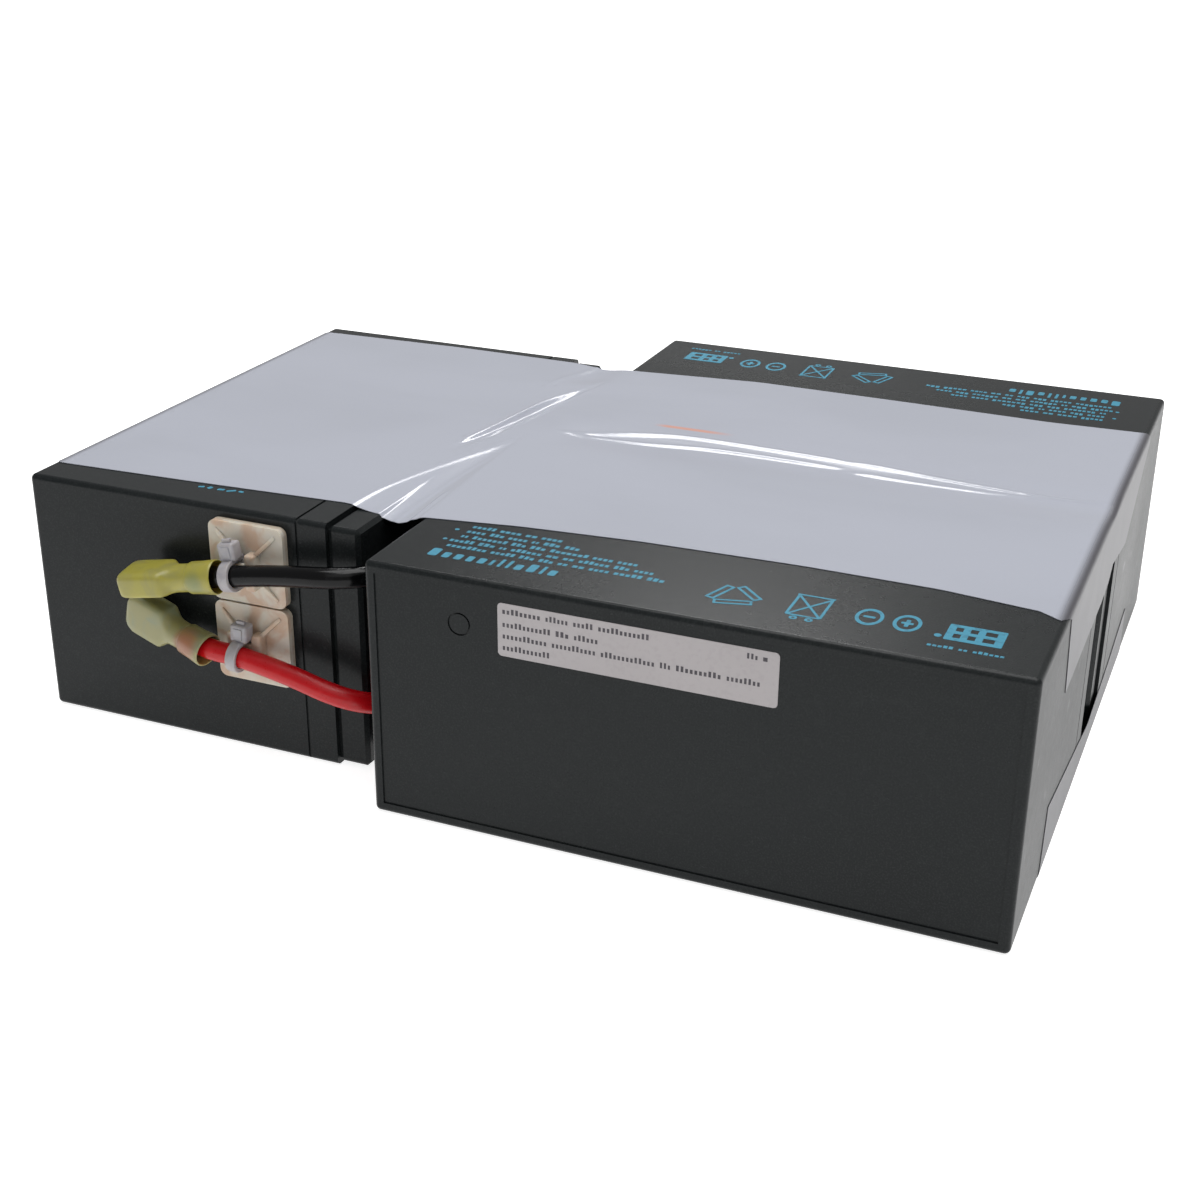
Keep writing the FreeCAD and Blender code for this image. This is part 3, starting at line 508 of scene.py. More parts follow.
SLOT_FINISH: dict[str, Finish] = {
    "battery_plastic": CASE,
    "cover_plastic": COVER,
    "valve_rubber": Insulation("valve_rubber_black", rgb(24, 24, 25), rgb(50, 50, 50), 0.6, 0.3),
    "positive_lead": Metal("oxide_brown", rgb(84, 52, 38), rgb(58, 38, 30), 0.75, 0.0),
    "negative_lead": Metal("sponge_grey", rgb(120, 122, 124), rgb(88, 90, 92), 0.6, 0.5),
    "glass_mat": GLASS_MAT,
    "strap_lead": Metal("cast_lead", rgb(142, 144, 150), rgb(104, 106, 112), 0.45),
    "terminal_tin": Metal("tinned_tab", rgb(208, 206, 198), rgb(164, 160, 150), 0.25),
    "sealant": Insulation("resin_seal", rgb(70, 24, 22), rgb(96, 44, 38), 0.3, 0.5),
    "connector_brass": Metal("receptacle_brass", rgb(214, 182, 104), rgb(158, 128, 70), 0.28),
    "sleeve_nylon": YELLOW_NYLON,
    "binding_film": FILM,
    "label_paper": LABEL,
    "black_insulation": BLACK_VINYL,
    "red_insulation": RED_VINYL,
    "foam_tape": FOAM,
    "mount_nylon": MOUNT_NYLON,
    "tie_nylon": TIE_NYLON,
}


class PaintShelf:
    """Makes each finish once and hands it to every piece that uses it."""

    def __init__(self) -> None:
        """Start with an empty shelf."""
        self.made: dict[str, Material] = {}

    def get(self, finish: Finish) -> Material:
        """Return the material of a finish."""
        if finish.name not in self.made:
            self.made[finish.name] = finish.make()
        return self.made[finish.name]

    def dress_nodes(self) -> int:
        """Give every CAD node the finish of its slot, and return how many were dressed."""
        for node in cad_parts.values():
            for holder in node.material_slots:
                slot_name = holder.material.name.split(".")[0]
                holder.material = self.get(SLOT_FINISH[slot_name])
        return len(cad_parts)


SHELF = PaintShelf()


# ---------------------------------------------------------------- forms


def complete(
    name: str, form: Form, finish: Finish, nodes: Sequence[str] = (),
    sharp: float = 32.0,
) -> Piece:
    """Turn a form drawn in millimetres into a finished piece that rides on the pack.

    Args:
        name: The piece's name.
        form: The closed shells, which are freed afterwards.
        finish: What it is made of.
        nodes: The CAD nodes that it stands for.
        sharp: Edges that turn by more than this many degrees stay crisp.

    Returns:
        The new object.
    """
    bmesh.ops.remove_doubles(form, verts=form.verts, dist=WELD)
    bmesh.ops.recalc_face_normals(form, faces=form.faces)
    bmesh.ops.scale(form, verts=form.verts, vec=(MM, MM, MM))
    for face in form.faces:
        face.smooth = True
    for edge in form.edges:
        edge.smooth = edge.calc_face_angle(0.0) < math.radians(sharp)
    mesh = bpy.data.meshes.new(name)
    form.to_mesh(mesh)
    form.free()
    mesh.materials.append(SHELF.get(finish))
    piece = bpy.data.objects.new(name, mesh)
    bpy.context.scene.collection.objects.link(piece)
    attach(piece, BODY)
    if nodes:
        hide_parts(*nodes)
    return piece


def join(form: Form, own: Form) -> None:
    """Add a closed shell to a form.

    Args:
        form: What it is added to.
        own: The shell, which is freed afterwards.
    """
    carrier = bpy.data.meshes.new("carrier")
    own.to_mesh(carrier)
    own.free()
    form.from_mesh(carrier)
    bpy.data.meshes.remove(carrier)


def round_edges(
    form: Form, edges: Sequence[bmesh.types.BMEdge], radius: float, facets: int,
    held: bool = True,
) -> None:
    """Round some of a form's edges.

    Args:
        form: The form.
        edges: The edges to round.
        radius: The radius of the rounding.
        facets: How many facets it has.
        held: Whether the radius gets smaller where two roundings would meet.
    """
    bmesh.ops.bevel(
        form, geom=edges, offset=radius, offset_type="OFFSET", segments=facets, profile=0.5,
        affect="EDGES", material=-1, clamp_overlap=held,
    )


def add_block(
    form: Form, centre: Point3, size: Point3, rounding: float, segments: int,
    axis: int | None = None, turn: Matrix | None = None,
) -> None:
    """Add a closed block with rounded edges.

    Args:
        form: What it is added to.
        centre: Its middle.
        size: Its length along each axis.
        rounding: The radius of its edges.
        segments: How many facets each rounded edge has.
        axis: The axis that the rounded edges run along; None rounds them all.
        turn: A turn about the block's own middle.
    """
    own = bmesh.new()
    bmesh.ops.create_cube(own, size=1.0, matrix=Matrix.Diagonal((*size, 1.0)))
    if rounding > 0:
        edges = [
            edge for edge in own.edges
            if axis is None or abs((edge.verts[0].co - edge.verts[1].co)[axis]) > 1e-6
        ]
        round_edges(own, edges, rounding, segments)
    place = Matrix.Translation(centre) @ (turn or Matrix.Identity(4))
    bmesh.ops.transform(own, matrix=place, verts=own.verts)
    join(form, own)


class Edge(Enum):
    """How round a printed bar's corners are, as a share of its narrower side."""

    SQUARE = 0.0
    SOFT = 0.25


@dataclass
class PrintedArt:
    """Plain printed marks on one flat face, each a thin closed shell."""

    name: str
    face: Matrix
    finish: Ink
    slot: str
    depth: float = 0.05
    ring_steps: int = 30
    laid: int = 0
    form: Form = field(default_factory=bmesh.new)

    def bar(
        self, middle: Point2, size: Point2, turn: float = 0.0, edge: Edge = Edge.SOFT
    ) -> None:
        """Add one bar, a little thicker or thinner than the last so that crossings stay clean.

        Args:
            middle: Its middle on the face.
            size: Its length and height.
            turn: Its turn, in degrees.
            edge: How its corners are rounded.
        """
        self.laid += 1
        depth = self.depth * (1 + 0.07 * (self.laid % 7))
        add_block(
            self.form, (*middle, 0.0), (*size, depth), min(size) * edge.value, 2, 2,
            Matrix.Rotation(math.radians(turn), 4, "Z"),
        )

    def ring(self, middle: Point2, radii: Point2, line: float) -> None:
        """Add a ring.

        Args:
            middle: Its middle on the face.
            radii: Its outer reach along each axis.
            line: The width of its line.
        """
        own = bmesh.new()
        width = line / max(radii)
        profile = Matrix.Translation((1 - width / 2, 0, 0)) @ Matrix.Rotation(math.pi / 2, 4, "X")
        profile = profile @ Matrix.Diagonal((width, self.depth, 1, 1))
        bmesh.ops.create_grid(own, x_segments=1, y_segments=1, size=0.5, matrix=profile)
        bmesh.ops.delete(own, geom=own.faces[:], context="FACES_ONLY")
        bmesh.ops.spin(
            own, geom=own.verts[:] + own.edges[:], cent=(0, 0, 0), axis=(0, 0, 1),
            angle=math.tau, steps=self.ring_steps, use_merge=True,
        )
        stretch = Matrix.Translation((*middle, 0)) @ Matrix.Diagonal((*radii, 1, 1))
        bmesh.ops.transform(own, matrix=stretch, verts=own.verts)
        join(self.form, own)

    def row(
        self, start: Point2, words: Sequence[float], height: float, gap: float = 1.0,
        pitch: float = 1.3, space: float = 0.36,
    ) -> None:
        """Add a row of greyed-out words, each a group of small upright blocks.

        Args:
            start: The left end of the row, at its middle height.
            words: How long each word is.
            height: How tall the tallest blocks are.
            gap: The space between two words.
            pitch: The step from one block to the next.
            space: The space left between two blocks.
        """
        at = start[0]
        for length in words:
            count = max(1, round(length / pitch))
            step = length / count
            for index in range(count):
                short = 1.0 if (index * 5 + count * 3) % 7 in (0, 2) else 0.72
                middle = (at + (index + 0.5) * step, start[1] - (1 - short) * height / 2)
                self.bar(middle, (step - space, height * short), edge=Edge.SQUARE)
            at += length + gap

    def build(self) -> Piece:
        """Put the marks on their face and return the piece."""
        bmesh.ops.transform(self.form, matrix=self.face, verts=self.form.verts)
        return complete(self.name, self.form, self.finish)


# ---------------------------------------------------------------- leads


@dataclass
class Lead:
    """A free insulated lead from a battery terminal to its connector."""

    name: str
    node: str
    route: Sequence[Point3]
    length: float
    finish: Insulation
    slot: str
    riders: tuple[str, str]
    diameter: float = 5.2

    def build(self) -> Piece:
        """Return the lead, laid along its route."""
        curve = bpy.data.curves.new(self.name, "CURVE")
        curve.dimensions = "3D"
        curve.bevel_depth = self.diameter / 2 * MM
        curve.bevel_resolution = 8
        curve.resolution_u = 14
        curve.use_fill_caps = True
        spline = curve.splines.new("NURBS")
        spline.points.add(len(self.route) - 1)
        for point, place in zip(spline.points, self.route):
            point.co = (*(value * MM for value in place), 1.0)
        spline.order_u = 3
        spline.use_endpoint_u = True
        curve.materials.append(SHELF.get(self.finish))
        piece = bpy.data.objects.new(self.name, curve)
        bpy.context.scene.collection.objects.link(piece)
        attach(piece, BODY)
        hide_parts(self.node)
        tuple(value * MM for value in self.route[0])
        self.diameter * MM
        return piece


BLACK_LEAD = Lead(
    "black_cord", "black_lead",
    (
        (-30.7, 45.5, 51.45), (-30.7, 30.5, 51.45), (-28.9, 6.5, 52.6), (-28.5, -19.5, 52.4),
        (-28.6, -43.5, 53.2), (-28.2, -65.5, 53.4), (-28.3, -83.4, 53.9), (-35.5, -91.7, 54.9),
        (-49.8, -92.1, 53.5), (-64.1, -92.0, 50.8), (-74.8, -92.5, 48.8),
    ),
    178.9, BLACK_VINYL, "black_insulation", ("black_sleeve", "black_lead_receptacle"),
)
RED_LEAD = Lead(
    "red_cord", "red_lead",
    (
        (-20.8, -2.5, 13.45), (-25.7, -2.5, 13.45), (-28.8, -6.9, 13.8), (-29.0, -17.5, 14.4),
        (-28.5, -35.5, 15.4), (-28.7, -55.5, 16.6), (-28.3, -72.5, 18.4), (-28.4, -85.2, 20.4),
        (-36.1, -91.9, 24.0), (-49.3, -92.1, 27.6), (-63.9, -92.0, 29.9), (-73.0, -91.9, 30.0),
        (-79.2, -90.8, 31.2),
    ),
    141.9, RED_VINYL, "red_insulation", ("red_sleeve", "red_lead_receptacle"),
)


# ---------------------------------------------------------------- connectors


@dataclass
class Connector:
    """A hollow nylon sleeve: a flat head open at its tip, a neck and a flared mouth."""

    name: str
    node: str
    tip: Point3
    mouth: Point3
    roll: float
    finish: Nylon
    tip_half: float = 5.15
    head_half: float = 5.5
    flat_half: float = 3.3
    facets: int = 48

    def stations(self) -> list[Station]:
        """Return the rings round the wall, out along its outside and back along its inside."""
        tip, head, flat = self.tip_half, self.head_half, self.flat_half
        slot = min(4.1, tip - 0.9)
        round_part = (
            (15.6, 3.45), (17.3, 3.45), (17.6, 3.5), (17.9, 3.8), (18.3, 3.95), (21.5, 4.05),
            (24.2, 4.28), (24.8, 4.27), (25.0, 4.1), (24.9, 3.85), (23.6, 3.6), (18.2, 2.75),
            (14.0, 2.7),
        )
        return [
            (0.0, tip - 0.35, flat - 0.5, 4.8), (0.2, tip, flat - 0.2, 4.8),
            (0.9, (tip + head) / 2, flat, 4.8), (2.2, 5.46, flat, 5.0), (3.4, head, flat, 5.0),
            (7.0, head, flat, 5.0), (10.6, 5.48, flat, 5.0), (11.3, 5.3, flat, 4.6),
            (11.9, 4.85, flat, 3.8), (12.5, 4.25, flat, 3.0), (13.2, 3.75, 3.34, 2.5),
            (14.2, 3.5, 3.4, 2.1),
            *((along, half, half, 2.0) for along, half in round_part),
            (10.4, 2.72, 2.6, 2.2), (9.7, 3.9, 1.55, 4.0), (2.0, slot, 1.5, 5.0),
            (0.3, slot, 1.55, 5.0), (0.0, min(4.4, tip - 0.7), 1.85, 4.6),
        ]

    def shape(
        self, verts: Sequence[Vertex], turns: Sequence[float], station: Station
    ) -> None:
        """Set one ring of vertices on its station.

        Args:
            verts: The ring's vertices.
            turns: Each vertex's angle round the ring.
            station: Where the ring stands and what its outline is.
        """
        along, wide, thick, square = station
        for vert, turn in zip(verts, turns):
            reach = [
                math.copysign(abs(value) ** (2 / square), value)
                for value in (math.cos(turn), math.sin(turn))
            ]
            vert.co = (wide * reach[0], thick * reach[1], along)

    def placement(self) -> Matrix:
        """Return the place of the sleeve, drawn with its tip at the origin and +Z to its mouth."""
        ahead = (Vector(self.mouth) - Vector(self.tip)).normalized()
        across = Vector((0, 0, 1)).cross(ahead).normalized()
        upright = ahead.cross(across)
        turn = math.radians(90 - self.roll)
        wide = across * math.cos(turn) + upright * math.sin(turn)
        axes = Matrix((wide, ahead.cross(wide), ahead)).transposed().to_4x4()
        return Matrix.Translation(self.tip) @ axes

    def build(self) -> Piece:
        """Return the sleeve."""
        form = bmesh.new()
        bmesh.ops.create_circle(form, segments=self.facets, radius=1.0)
        ring = form.verts[:]
        turns = [math.atan2(vert.co.y, vert.co.x) for vert in ring]
        first = edges = form.edges[:]
        start, *others = self.stations()
        self.shape(ring, turns, start)
        for station in others:
            before = {place_key(vert): turn for vert, turn in zip(ring, turns)}
            made = bmesh.ops.extrude_edge_only(form, edges=edges)["geom"]
            ring = [item for item in made if isinstance(item, Vertex)]
            edges = [
                item for item in made
                if isinstance(item, bmesh.types.BMEdge) and all(vert in ring for vert in item.verts)
            ]
            turns = [before[place_key(vert)] for vert in ring]
            self.shape(ring, turns, station)
        bmesh.ops.bridge_loops(form, edges=first + edges)
        bmesh.ops.transform(form, matrix=self.placement(), verts=form.verts)
        return complete(self.name, form, self.finish, (self.node,), 50)


def place_key(vert: Vertex) -> tuple[float, ...]:
    """Return a vertex's place, rounded so that it can be looked up."""
    return tuple(round(value, 5) for value in vert.co)


CONNECTORS = (
    Connector(
        "black_sleeve", "black_lead_sleeve", (-92.4, -93.8, 45.9), (-67.7, -92.0, 50.0), 86.0,
        YELLOW_NYLON,
    ),
    Connector(
        "red_sleeve", "red_lead_sleeve", (-96.3, -87.7, 35.25), (-72.3, -92.0, 29.6), 0.0,
        PALE_NYLON, 3.9,
    ),
)


# ---------------------------------------------------------------- mounts and ties


@dataclass
class TieMount:
    """A square stick-on mount with a raised saddle, and the cable tie through it."""

    name: str
    crossing: Point3
    rise: float
    side: float = 20.6
    shift: Point2 = (0.9, 1.0)
    corner: float = 2.0
    lead_radius: float = 2.6
    clearance: float = 0.15
    stand_off: float = 7.0
    plate: float = 1.2
    wall: Point2 = (2.0, 4.7)
    saddle_half: float = 4.7
    bar_half: float = 2.2
    bar: float = 1.35
    tie_width: float = 2.7
    tie_thickness: float = 1.1
    head: Point3 = (4.6, 3.7, 4.6)
    saddle_gap: float = 0.04
    sunk: float = 0.5
    rib_start: float = 4.5
    rib_depth: float = 1.9
    rib_slope: float = 1.4
    rib_width: float = 1.1

    def spot(self, tilted: bool) -> Matrix:
        """Return the place of the crossing, tilted with the lead if asked."""
        turn = Matrix.Rotation(math.radians(-self.rise), 4, "Y") if tilted else Matrix.Identity(4)
        return Matrix.Translation(self.crossing) @ turn

    def add_rib(self, form: Form, bearing: float) -> None:
        """Add a rib that runs out over the plate and gets lower towards its corner.

        Args:
            form: What it is added to.
            bearing: Which way it runs, in degrees.
        """
        rib = bmesh.new()
        end = self.side / 2 * math.sqrt(2) - self.corner * 1.4
        size = Matrix.Diagonal((end - self.rib_start, self.rib_depth, self.rib_width, 1))
        bmesh.ops.create_cube(rib, size=1.0, matrix=size)
        for vert in rib.verts:
            if vert.co.x > 0 and vert.co.y < 0:
                vert.co.y += self.rib_slope
        round_edges(rib, rib.edges[:], 0.28, 2, held=False)
        centre = Matrix.Translation((0.9 * self.shift[0], 0, 0.9 * self.shift[1]))
        aim = Matrix.Rotation(math.radians(bearing), 4, "Y")
        depth = self.stand_off - self.plate - 0.75
        out = Matrix.Translation(((end + self.rib_start) / 2, depth, 0))
        bmesh.ops.transform(rib, matrix=centre @ aim @ out, verts=rib.verts)
        join(form, rib)

    def build_mount(self) -> Piece:
        """Return the nylon mount: a plate, a saddle of two walls and a bar, and four ribs."""
        form = bmesh.new()
        add_block(
            form, (self.shift[0], self.stand_off - self.plate / 2, self.shift[1]),
            (self.side, self.plate, self.side), self.corner, 6, 1,
        )
        top = self.lead_radius + self.clearance
        foot = self.stand_off - self.plate + self.sunk
        inner, outer = self.wall
        for way in (-1, 1):
            add_block(
                form, (way * (inner + outer) / 2, (top + foot) / 2 + self.saddle_gap, 0),
                (outer - inner, foot - top, 2 * self.saddle_half), 0.55, 3,
            )
        add_block(
            form, (0, top + self.bar / 2 + self.saddle_gap, 0),
            (2 * inner + 0.8, self.bar, 2 * self.bar_half), 0.35, 3,
        )
        for bearing in (45, 135, 225, 315):
            self.add_rib(form, bearing)
        bmesh.ops.transform(form, matrix=self.spot(False), verts=form.verts)
        name, node = f"{self.name}_mount", f"tie_mount_{self.name}"
        return complete(name, form, MOUNT_NYLON, (node,))

    def build_tie(self) -> Piece:
        """Return the cable tie: a band round the lead with its head above it."""
        form = bmesh.new()
        inner = self.lead_radius + self.clearance
        outer = inner + self.tie_thickness
        middle = (inner + outer) / 2
        rear = self.stand_off - self.plate - self.clearance
        profile = Matrix.Translation((0, rear, middle)) @ Matrix.Rotation(math.pi / 2, 4, "X")
        profile = profile @ Matrix.Diagonal((self.tie_width, self.tie_thickness, 1, 1))
        bmesh.ops.create_grid(form, x_segments=1, y_segments=1, size=0.5, matrix=profile)
        form.faces.ensure_lookup_table()
        loose = form.faces[0]
        for step in ("back", "round", "forth"):
            if step == "round":
                made = bmesh.ops.spin(
                    form, geom=[loose, *loose.edges, *loose.verts], cent=(0, 0, 0),
                    axis=(1, 0, 0), angle=math.pi, steps=20,
                )["geom_last"]
            else:
                made = bmesh.ops.extrude_face_region(form, geom=[loose])["geom"]
                verts = [item for item in made if isinstance(item, Vertex)]
                way = -rear if step == "back" else rear
                bmesh.ops.translate(form, verts=verts, vec=(0, way, 0))
            loose = next(item for item in made if isinstance(item, bmesh.types.BMFace))
        add_block(
            form, (0, rear - self.tie_thickness / 2, 0),
            (self.tie_width - 0.02, self.tie_thickness, 2 * outer - 0.02), 0.3, 2,
        )
        _, deep, tall = self.head
        base = outer - 0.35
        for centre, size, rounding, segments in (
            ((0, deep / 2 + 0.1, base + tall / 2), self.head, 0.7, 4),
            ((0, 0.25, base + tall / 2), (2.5, 0.9, 3.0), 0.3, 2),
            ((0, deep / 2 - 0.2, base + tall + 0.25), (2.3, 1.0, 1.2), 0.2, 2),
        ):
            add_block(form, centre, size, rounding, segments)
        bmesh.ops.transform(form, matrix=self.spot(True), verts=form.verts)
        name, node = f"{self.name}_tie", f"cable_tie_{self.name}"
        piece = complete(name, form, TIE_NYLON, (node,), 40)
        trim = piece.modifiers.new("soft_edges", "BEVEL")
        trim.width = 0.22 * MM
        trim.segments = 2
        trim.limit_method = "ANGLE"
        trim.angle_limit = math.radians(50)
        return piece


MOUNTS = (
    TieMount("upper", (-64.1, -92.0, 50.8), 10.5),
    TieMount("lower", (-63.9, -92.0, 29.7), -3.4),
)


# ---------------------------------------------------------------- binding film


@dataclass(frozen=True)
class Fold:
    """A sharp little fold in the film: the line of its ridge and how it stands."""

    line: Sequence[Point2]
    height: float
    spread: float

    def lift(self, x: float, y: float) -> float:
        """Return how far the fold lifts the film at a place."""
        reach = self.spread * 3.2
        for at, places in zip((x, y), zip(*self.line)):
            if not min(places) - reach < at < max(places) + reach:
                return 0.0
        best, gone, run = math.inf, 0.0, 0.0
        for (ax, ay), (bx, by) in zip(self.line, self.line[1:]):
            span = math.hypot(bx - ax, by - ay)
            share = ((x - ax) * (bx - ax) + (y - ay) * (by - ay)) / (span * span)
            share = min(1.0, max(0.0, share))
            away = math.hypot(x - ax - share * (bx - ax), y - ay - share * (by - ay))
            if away < best:
                best, gone = away, run + share * span
            run += span
        fade = smooth(gone / (0.07 * run)) * smooth((run - gone) / (0.1 * run))
        return self.height * fade * math.exp(-0.5 * (best / self.spread) ** 2)


def curved(points: Sequence[Point2], parts: int = 5) -> list[Point2]:
    """Return a smooth line through the points.

    Args:
        points: The points that the line passes.
        parts: How many short runs stand between two of them.

    Returns:
        The finer points.
    """
    ends = [points[0], *points, points[-1]]
    line: list[Point2] = []
    for before, start, end, after in zip(ends, ends[1:], ends[2:], ends[3:]):
        for step in range(parts):
            t = step / parts
            line.append(tuple(
                0.5 * (2 * start[k] + (end[k] - before[k]) * t
                       + (2 * before[k] - 5 * start[k] + 4 * end[k] - after[k]) * t ** 2
                       + (3 * start[k] - before[k] - 3 * end[k] + after[k]) * t ** 3)
                for k in (0, 1)
            ))
    line.append(points[-1])
    return line


def spaced(
    low: float, high: float, coarse: float, fine: float, zones: Sequence[Point2], ease: float = 5.0
) -> list[float]:
    """Return places from low to high, set closer together inside the zones.

    Args:
        low: The first place.
        high: The last place.
        coarse: The step outside the zones.
        fine: The step inside them.
        zones: Where the step is fine.
        ease: How far from a zone the step has grown to the coarse one.

    Returns:
        The places, in order.
    """
    places = [low]
    while places[-1] < high - 1e-6:
        at = places[-1]
        away = min((max(start - at, at - end, 0.0) for start, end in zones), default=ease)
        places.append(min(high, at + fine + (coarse - fine) * smooth(away / ease)))
    return places


@dataclass
class BindingFilm:
    """One band of glossy film that lies on the pack and is folded over both its ends."""

    name: str
    node: str
    level: float
    way: int
    front: Sequence[Point2]
    back: Sequence[Point2]
    left_edge: Sequence[Point2]
    right_edge: Sequence[Point2]
    flat: Point2
    folds: Sequence[Fold] = ()
    fine_x: Sequence[Point2] = ()
    fine_y: Sequence[Point2] = ()
    half: float = 127.88
    bend: float = 1.6
    thickness: float = 0.14
    fold_steps: int = 6
    flap_steps: int = 14
    coarse: float = 2.6
    fine: Point2 = (0.36, 0.4)
    front_part: float = -8.0
    back_part: float = 18.0

    @property
    def straight(self) -> float:
        """Return how far from the middle the film bends down."""
        return self.half - self.bend

    def sag(self, x: float, y: float) -> float:
        """Return how far the film dips at a place on the pack."""
        return 0.0

    def surface(self, x: float, y: float) -> float:
        """Return the film's height at a place on the pack."""
        lift = sum(fold.lift(x, y) for fold in self.folds)
        return self.level + self.way * (lift - self.sag(x, y))

    def place(self, s: float, share: float, y: float) -> Point3:
        """Return a point of the film.

        Args:
            s: Its place along the band, up to the start of the bend.
            share: How far it is past there: 0 to 1 in the bend and 1 to 2 down the flap.
            y: Its place across the band.

        Returns:
            The point.
        """
        if share <= 0:
            return (s, y, self.surface(s, y))
        side = math.copysign(1.0, s)
        if share <= 1:
            drop = self.level - self.surface(side * self.straight, y)
            angle = share * math.pi / 2
            x = side * (self.straight + self.bend * math.sin(angle))
            z = self.level - self.way * self.bend * (1 - math.cos(angle)) - drop * (1 - share)
            return (x, y, z)
        edge = track(self.right_edge if side > 0 else self.left_edge, y)
        start = self.level - self.way * self.bend
        return (side * self.half, y, start + (edge - start) * (share - 1))

    def build(self) -> Piece:
        """Return the film."""
        past = [step / self.fold_steps for step in range(1, self.fold_steps + 1)]
        past += [1 + step / self.flap_steps for step in range(1, self.flap_steps + 1)]
        end = self.straight
        places = spaced(-end, end, self.coarse, self.fine[0], self.fine_x)
        run = [(-end, share) for share in reversed(past)]
        run += [(s, 0.0) for s in places] + [(end, share) for share in past]
        low, high = self.front[0][1], self.back[0][1]
        across = spaced(low, high, self.coarse, self.fine[1], self.fine_y)
        form = bmesh.new()
        columns, rows = len(run) - 1, len(across) - 1
        bmesh.ops.create_grid(form, x_segments=columns, y_segments=rows, size=0.5)
        for vert in form.verts:
            s, share = run[round((vert.co.x + 0.5) * columns)]
            nominal = across[round((vert.co.y + 0.5) * rows)]
            along = s + math.copysign(share * 10, s) if share > 0 else s
            in_front = smooth((self.front_part - nominal) / (self.front_part - low))
            in_back = smooth((nominal - self.back_part) / (high - self.back_part))
            shift_front = (track(self.front, along) - low) * in_front
            shift_back = (track(self.back, along) - high) * in_back
            vert.co = self.place(s, share, nominal + shift_front + shift_back)
        if self.way > 0:
            bmesh.ops.reverse_faces(form, faces=form.faces)
        bmesh.ops.recalc_face_normals(form, faces=form.faces)
        bmesh.ops.solidify(form, geom=form.faces[:], thickness=self.thickness)
        piece = complete(self.name, form, FILM, (self.node,), 60)
        return piece


@dataclass
class TopFilm(BindingFilm):
    """The upper band, which dips into the gaps between the batteries."""

    gap_left: Sequence[Point2] = (
        (-75, -44.0), (-70, -43.6), (-56, -42.2), (-39, -38.2), (-22, -32.0), (-13, -28.2), (0, -27),
    )
    gap_right: Sequence[Point2] = (
        (-75, -23.6), (-57, -24.2), (-38, -25.2), (-20, -25.8), (-8, -26.4),
    )
    gap_depth: Sequence[Point2] = (
        (-75, 2.3), (-70, 2.2), (-57, 1.6), (-39, 1.0), (-22, 0.4), (-12, 0.08), (-8, 0.0),
    )
    v_left: Sequence[Point2] = (
        (-22, -41.0), (-17.6, -40.4), (-0.5, -37.6), (11.2, -36.0), (23.6, -34.0), (35.3, -29.5),
        (43, -27),
    )
    v_right: Sequence[Point2] = (
        (-22, -37.0), (-8, -33.2), (3.8, -31.2), (15.9, -29.2), (29.5, -27.4), (43, -25),
    )
    v_depth: Sequence[Point2] = (
        (-24, 0.0), (-16, 0.35), (-4, 0.75), (14, 0.95), (28, 0.7), (38, 0.4), (46, 0.0),
    )
    room_along: Sequence[Point2] = (
        (-42.8, 0.5), (-41.6, 0.85), (-34.6, 0.85), (-33.5, 3.0), (-24.8, 3.0), (-23.2, 1.3),
        (-22.0, 0.5),
    )
    room_across: Sequence[Point2] = (
        (-14.6, 0.5), (-13.6, 0.85), (-6.5, 0.85), (-5.3, 3.0), (5.3, 3.0), (6.5, 0.85), (13.6, 0.85),
        (14.6, 0.5),
    )

    def sag(self, x: float, y: float) -> float:
        """Return how far the film dips into the gaps beside A and C."""
        dip = 0.0
        left, right = track(self.gap_left, y), track(self.gap_right, y)
        if left < x < right:
            share = (x - left) / (right - left)
            ramps = math.exp(-7 * share / 0.7) + math.exp(-7 * (1 - share) / 0.3)
            dip += track(self.gap_depth, y) * max(0.0, -math.log(ramps) / 7)
        left, right = track(self.v_left, y), track(self.v_right, y)
        if left < x < right:
            share = (x - left) / (right - left)
            dip += track(self.v_depth, y) * math.sin(math.pi * share) ** 1.6
        rear = smooth((y - 40) / 12) * math.exp(-((x + 31) / 5.5) ** 2)
        started = smooth((x + 24) / 14)
        between = math.exp(-((y - 0.5) / 8.0) ** 2) * (0.7 + 0.2 * smooth((x - 90) / 30))
        dip += 0.9 * rear + between * started
        room = track(self.room_along, x)
        if x > -24.0:
            room = max(room, min(track(self.room_across, y), track(self.room_along, -24.0)))
        return -math.log(math.exp(-8 * dip) + math.exp(-8 * room)) / 8


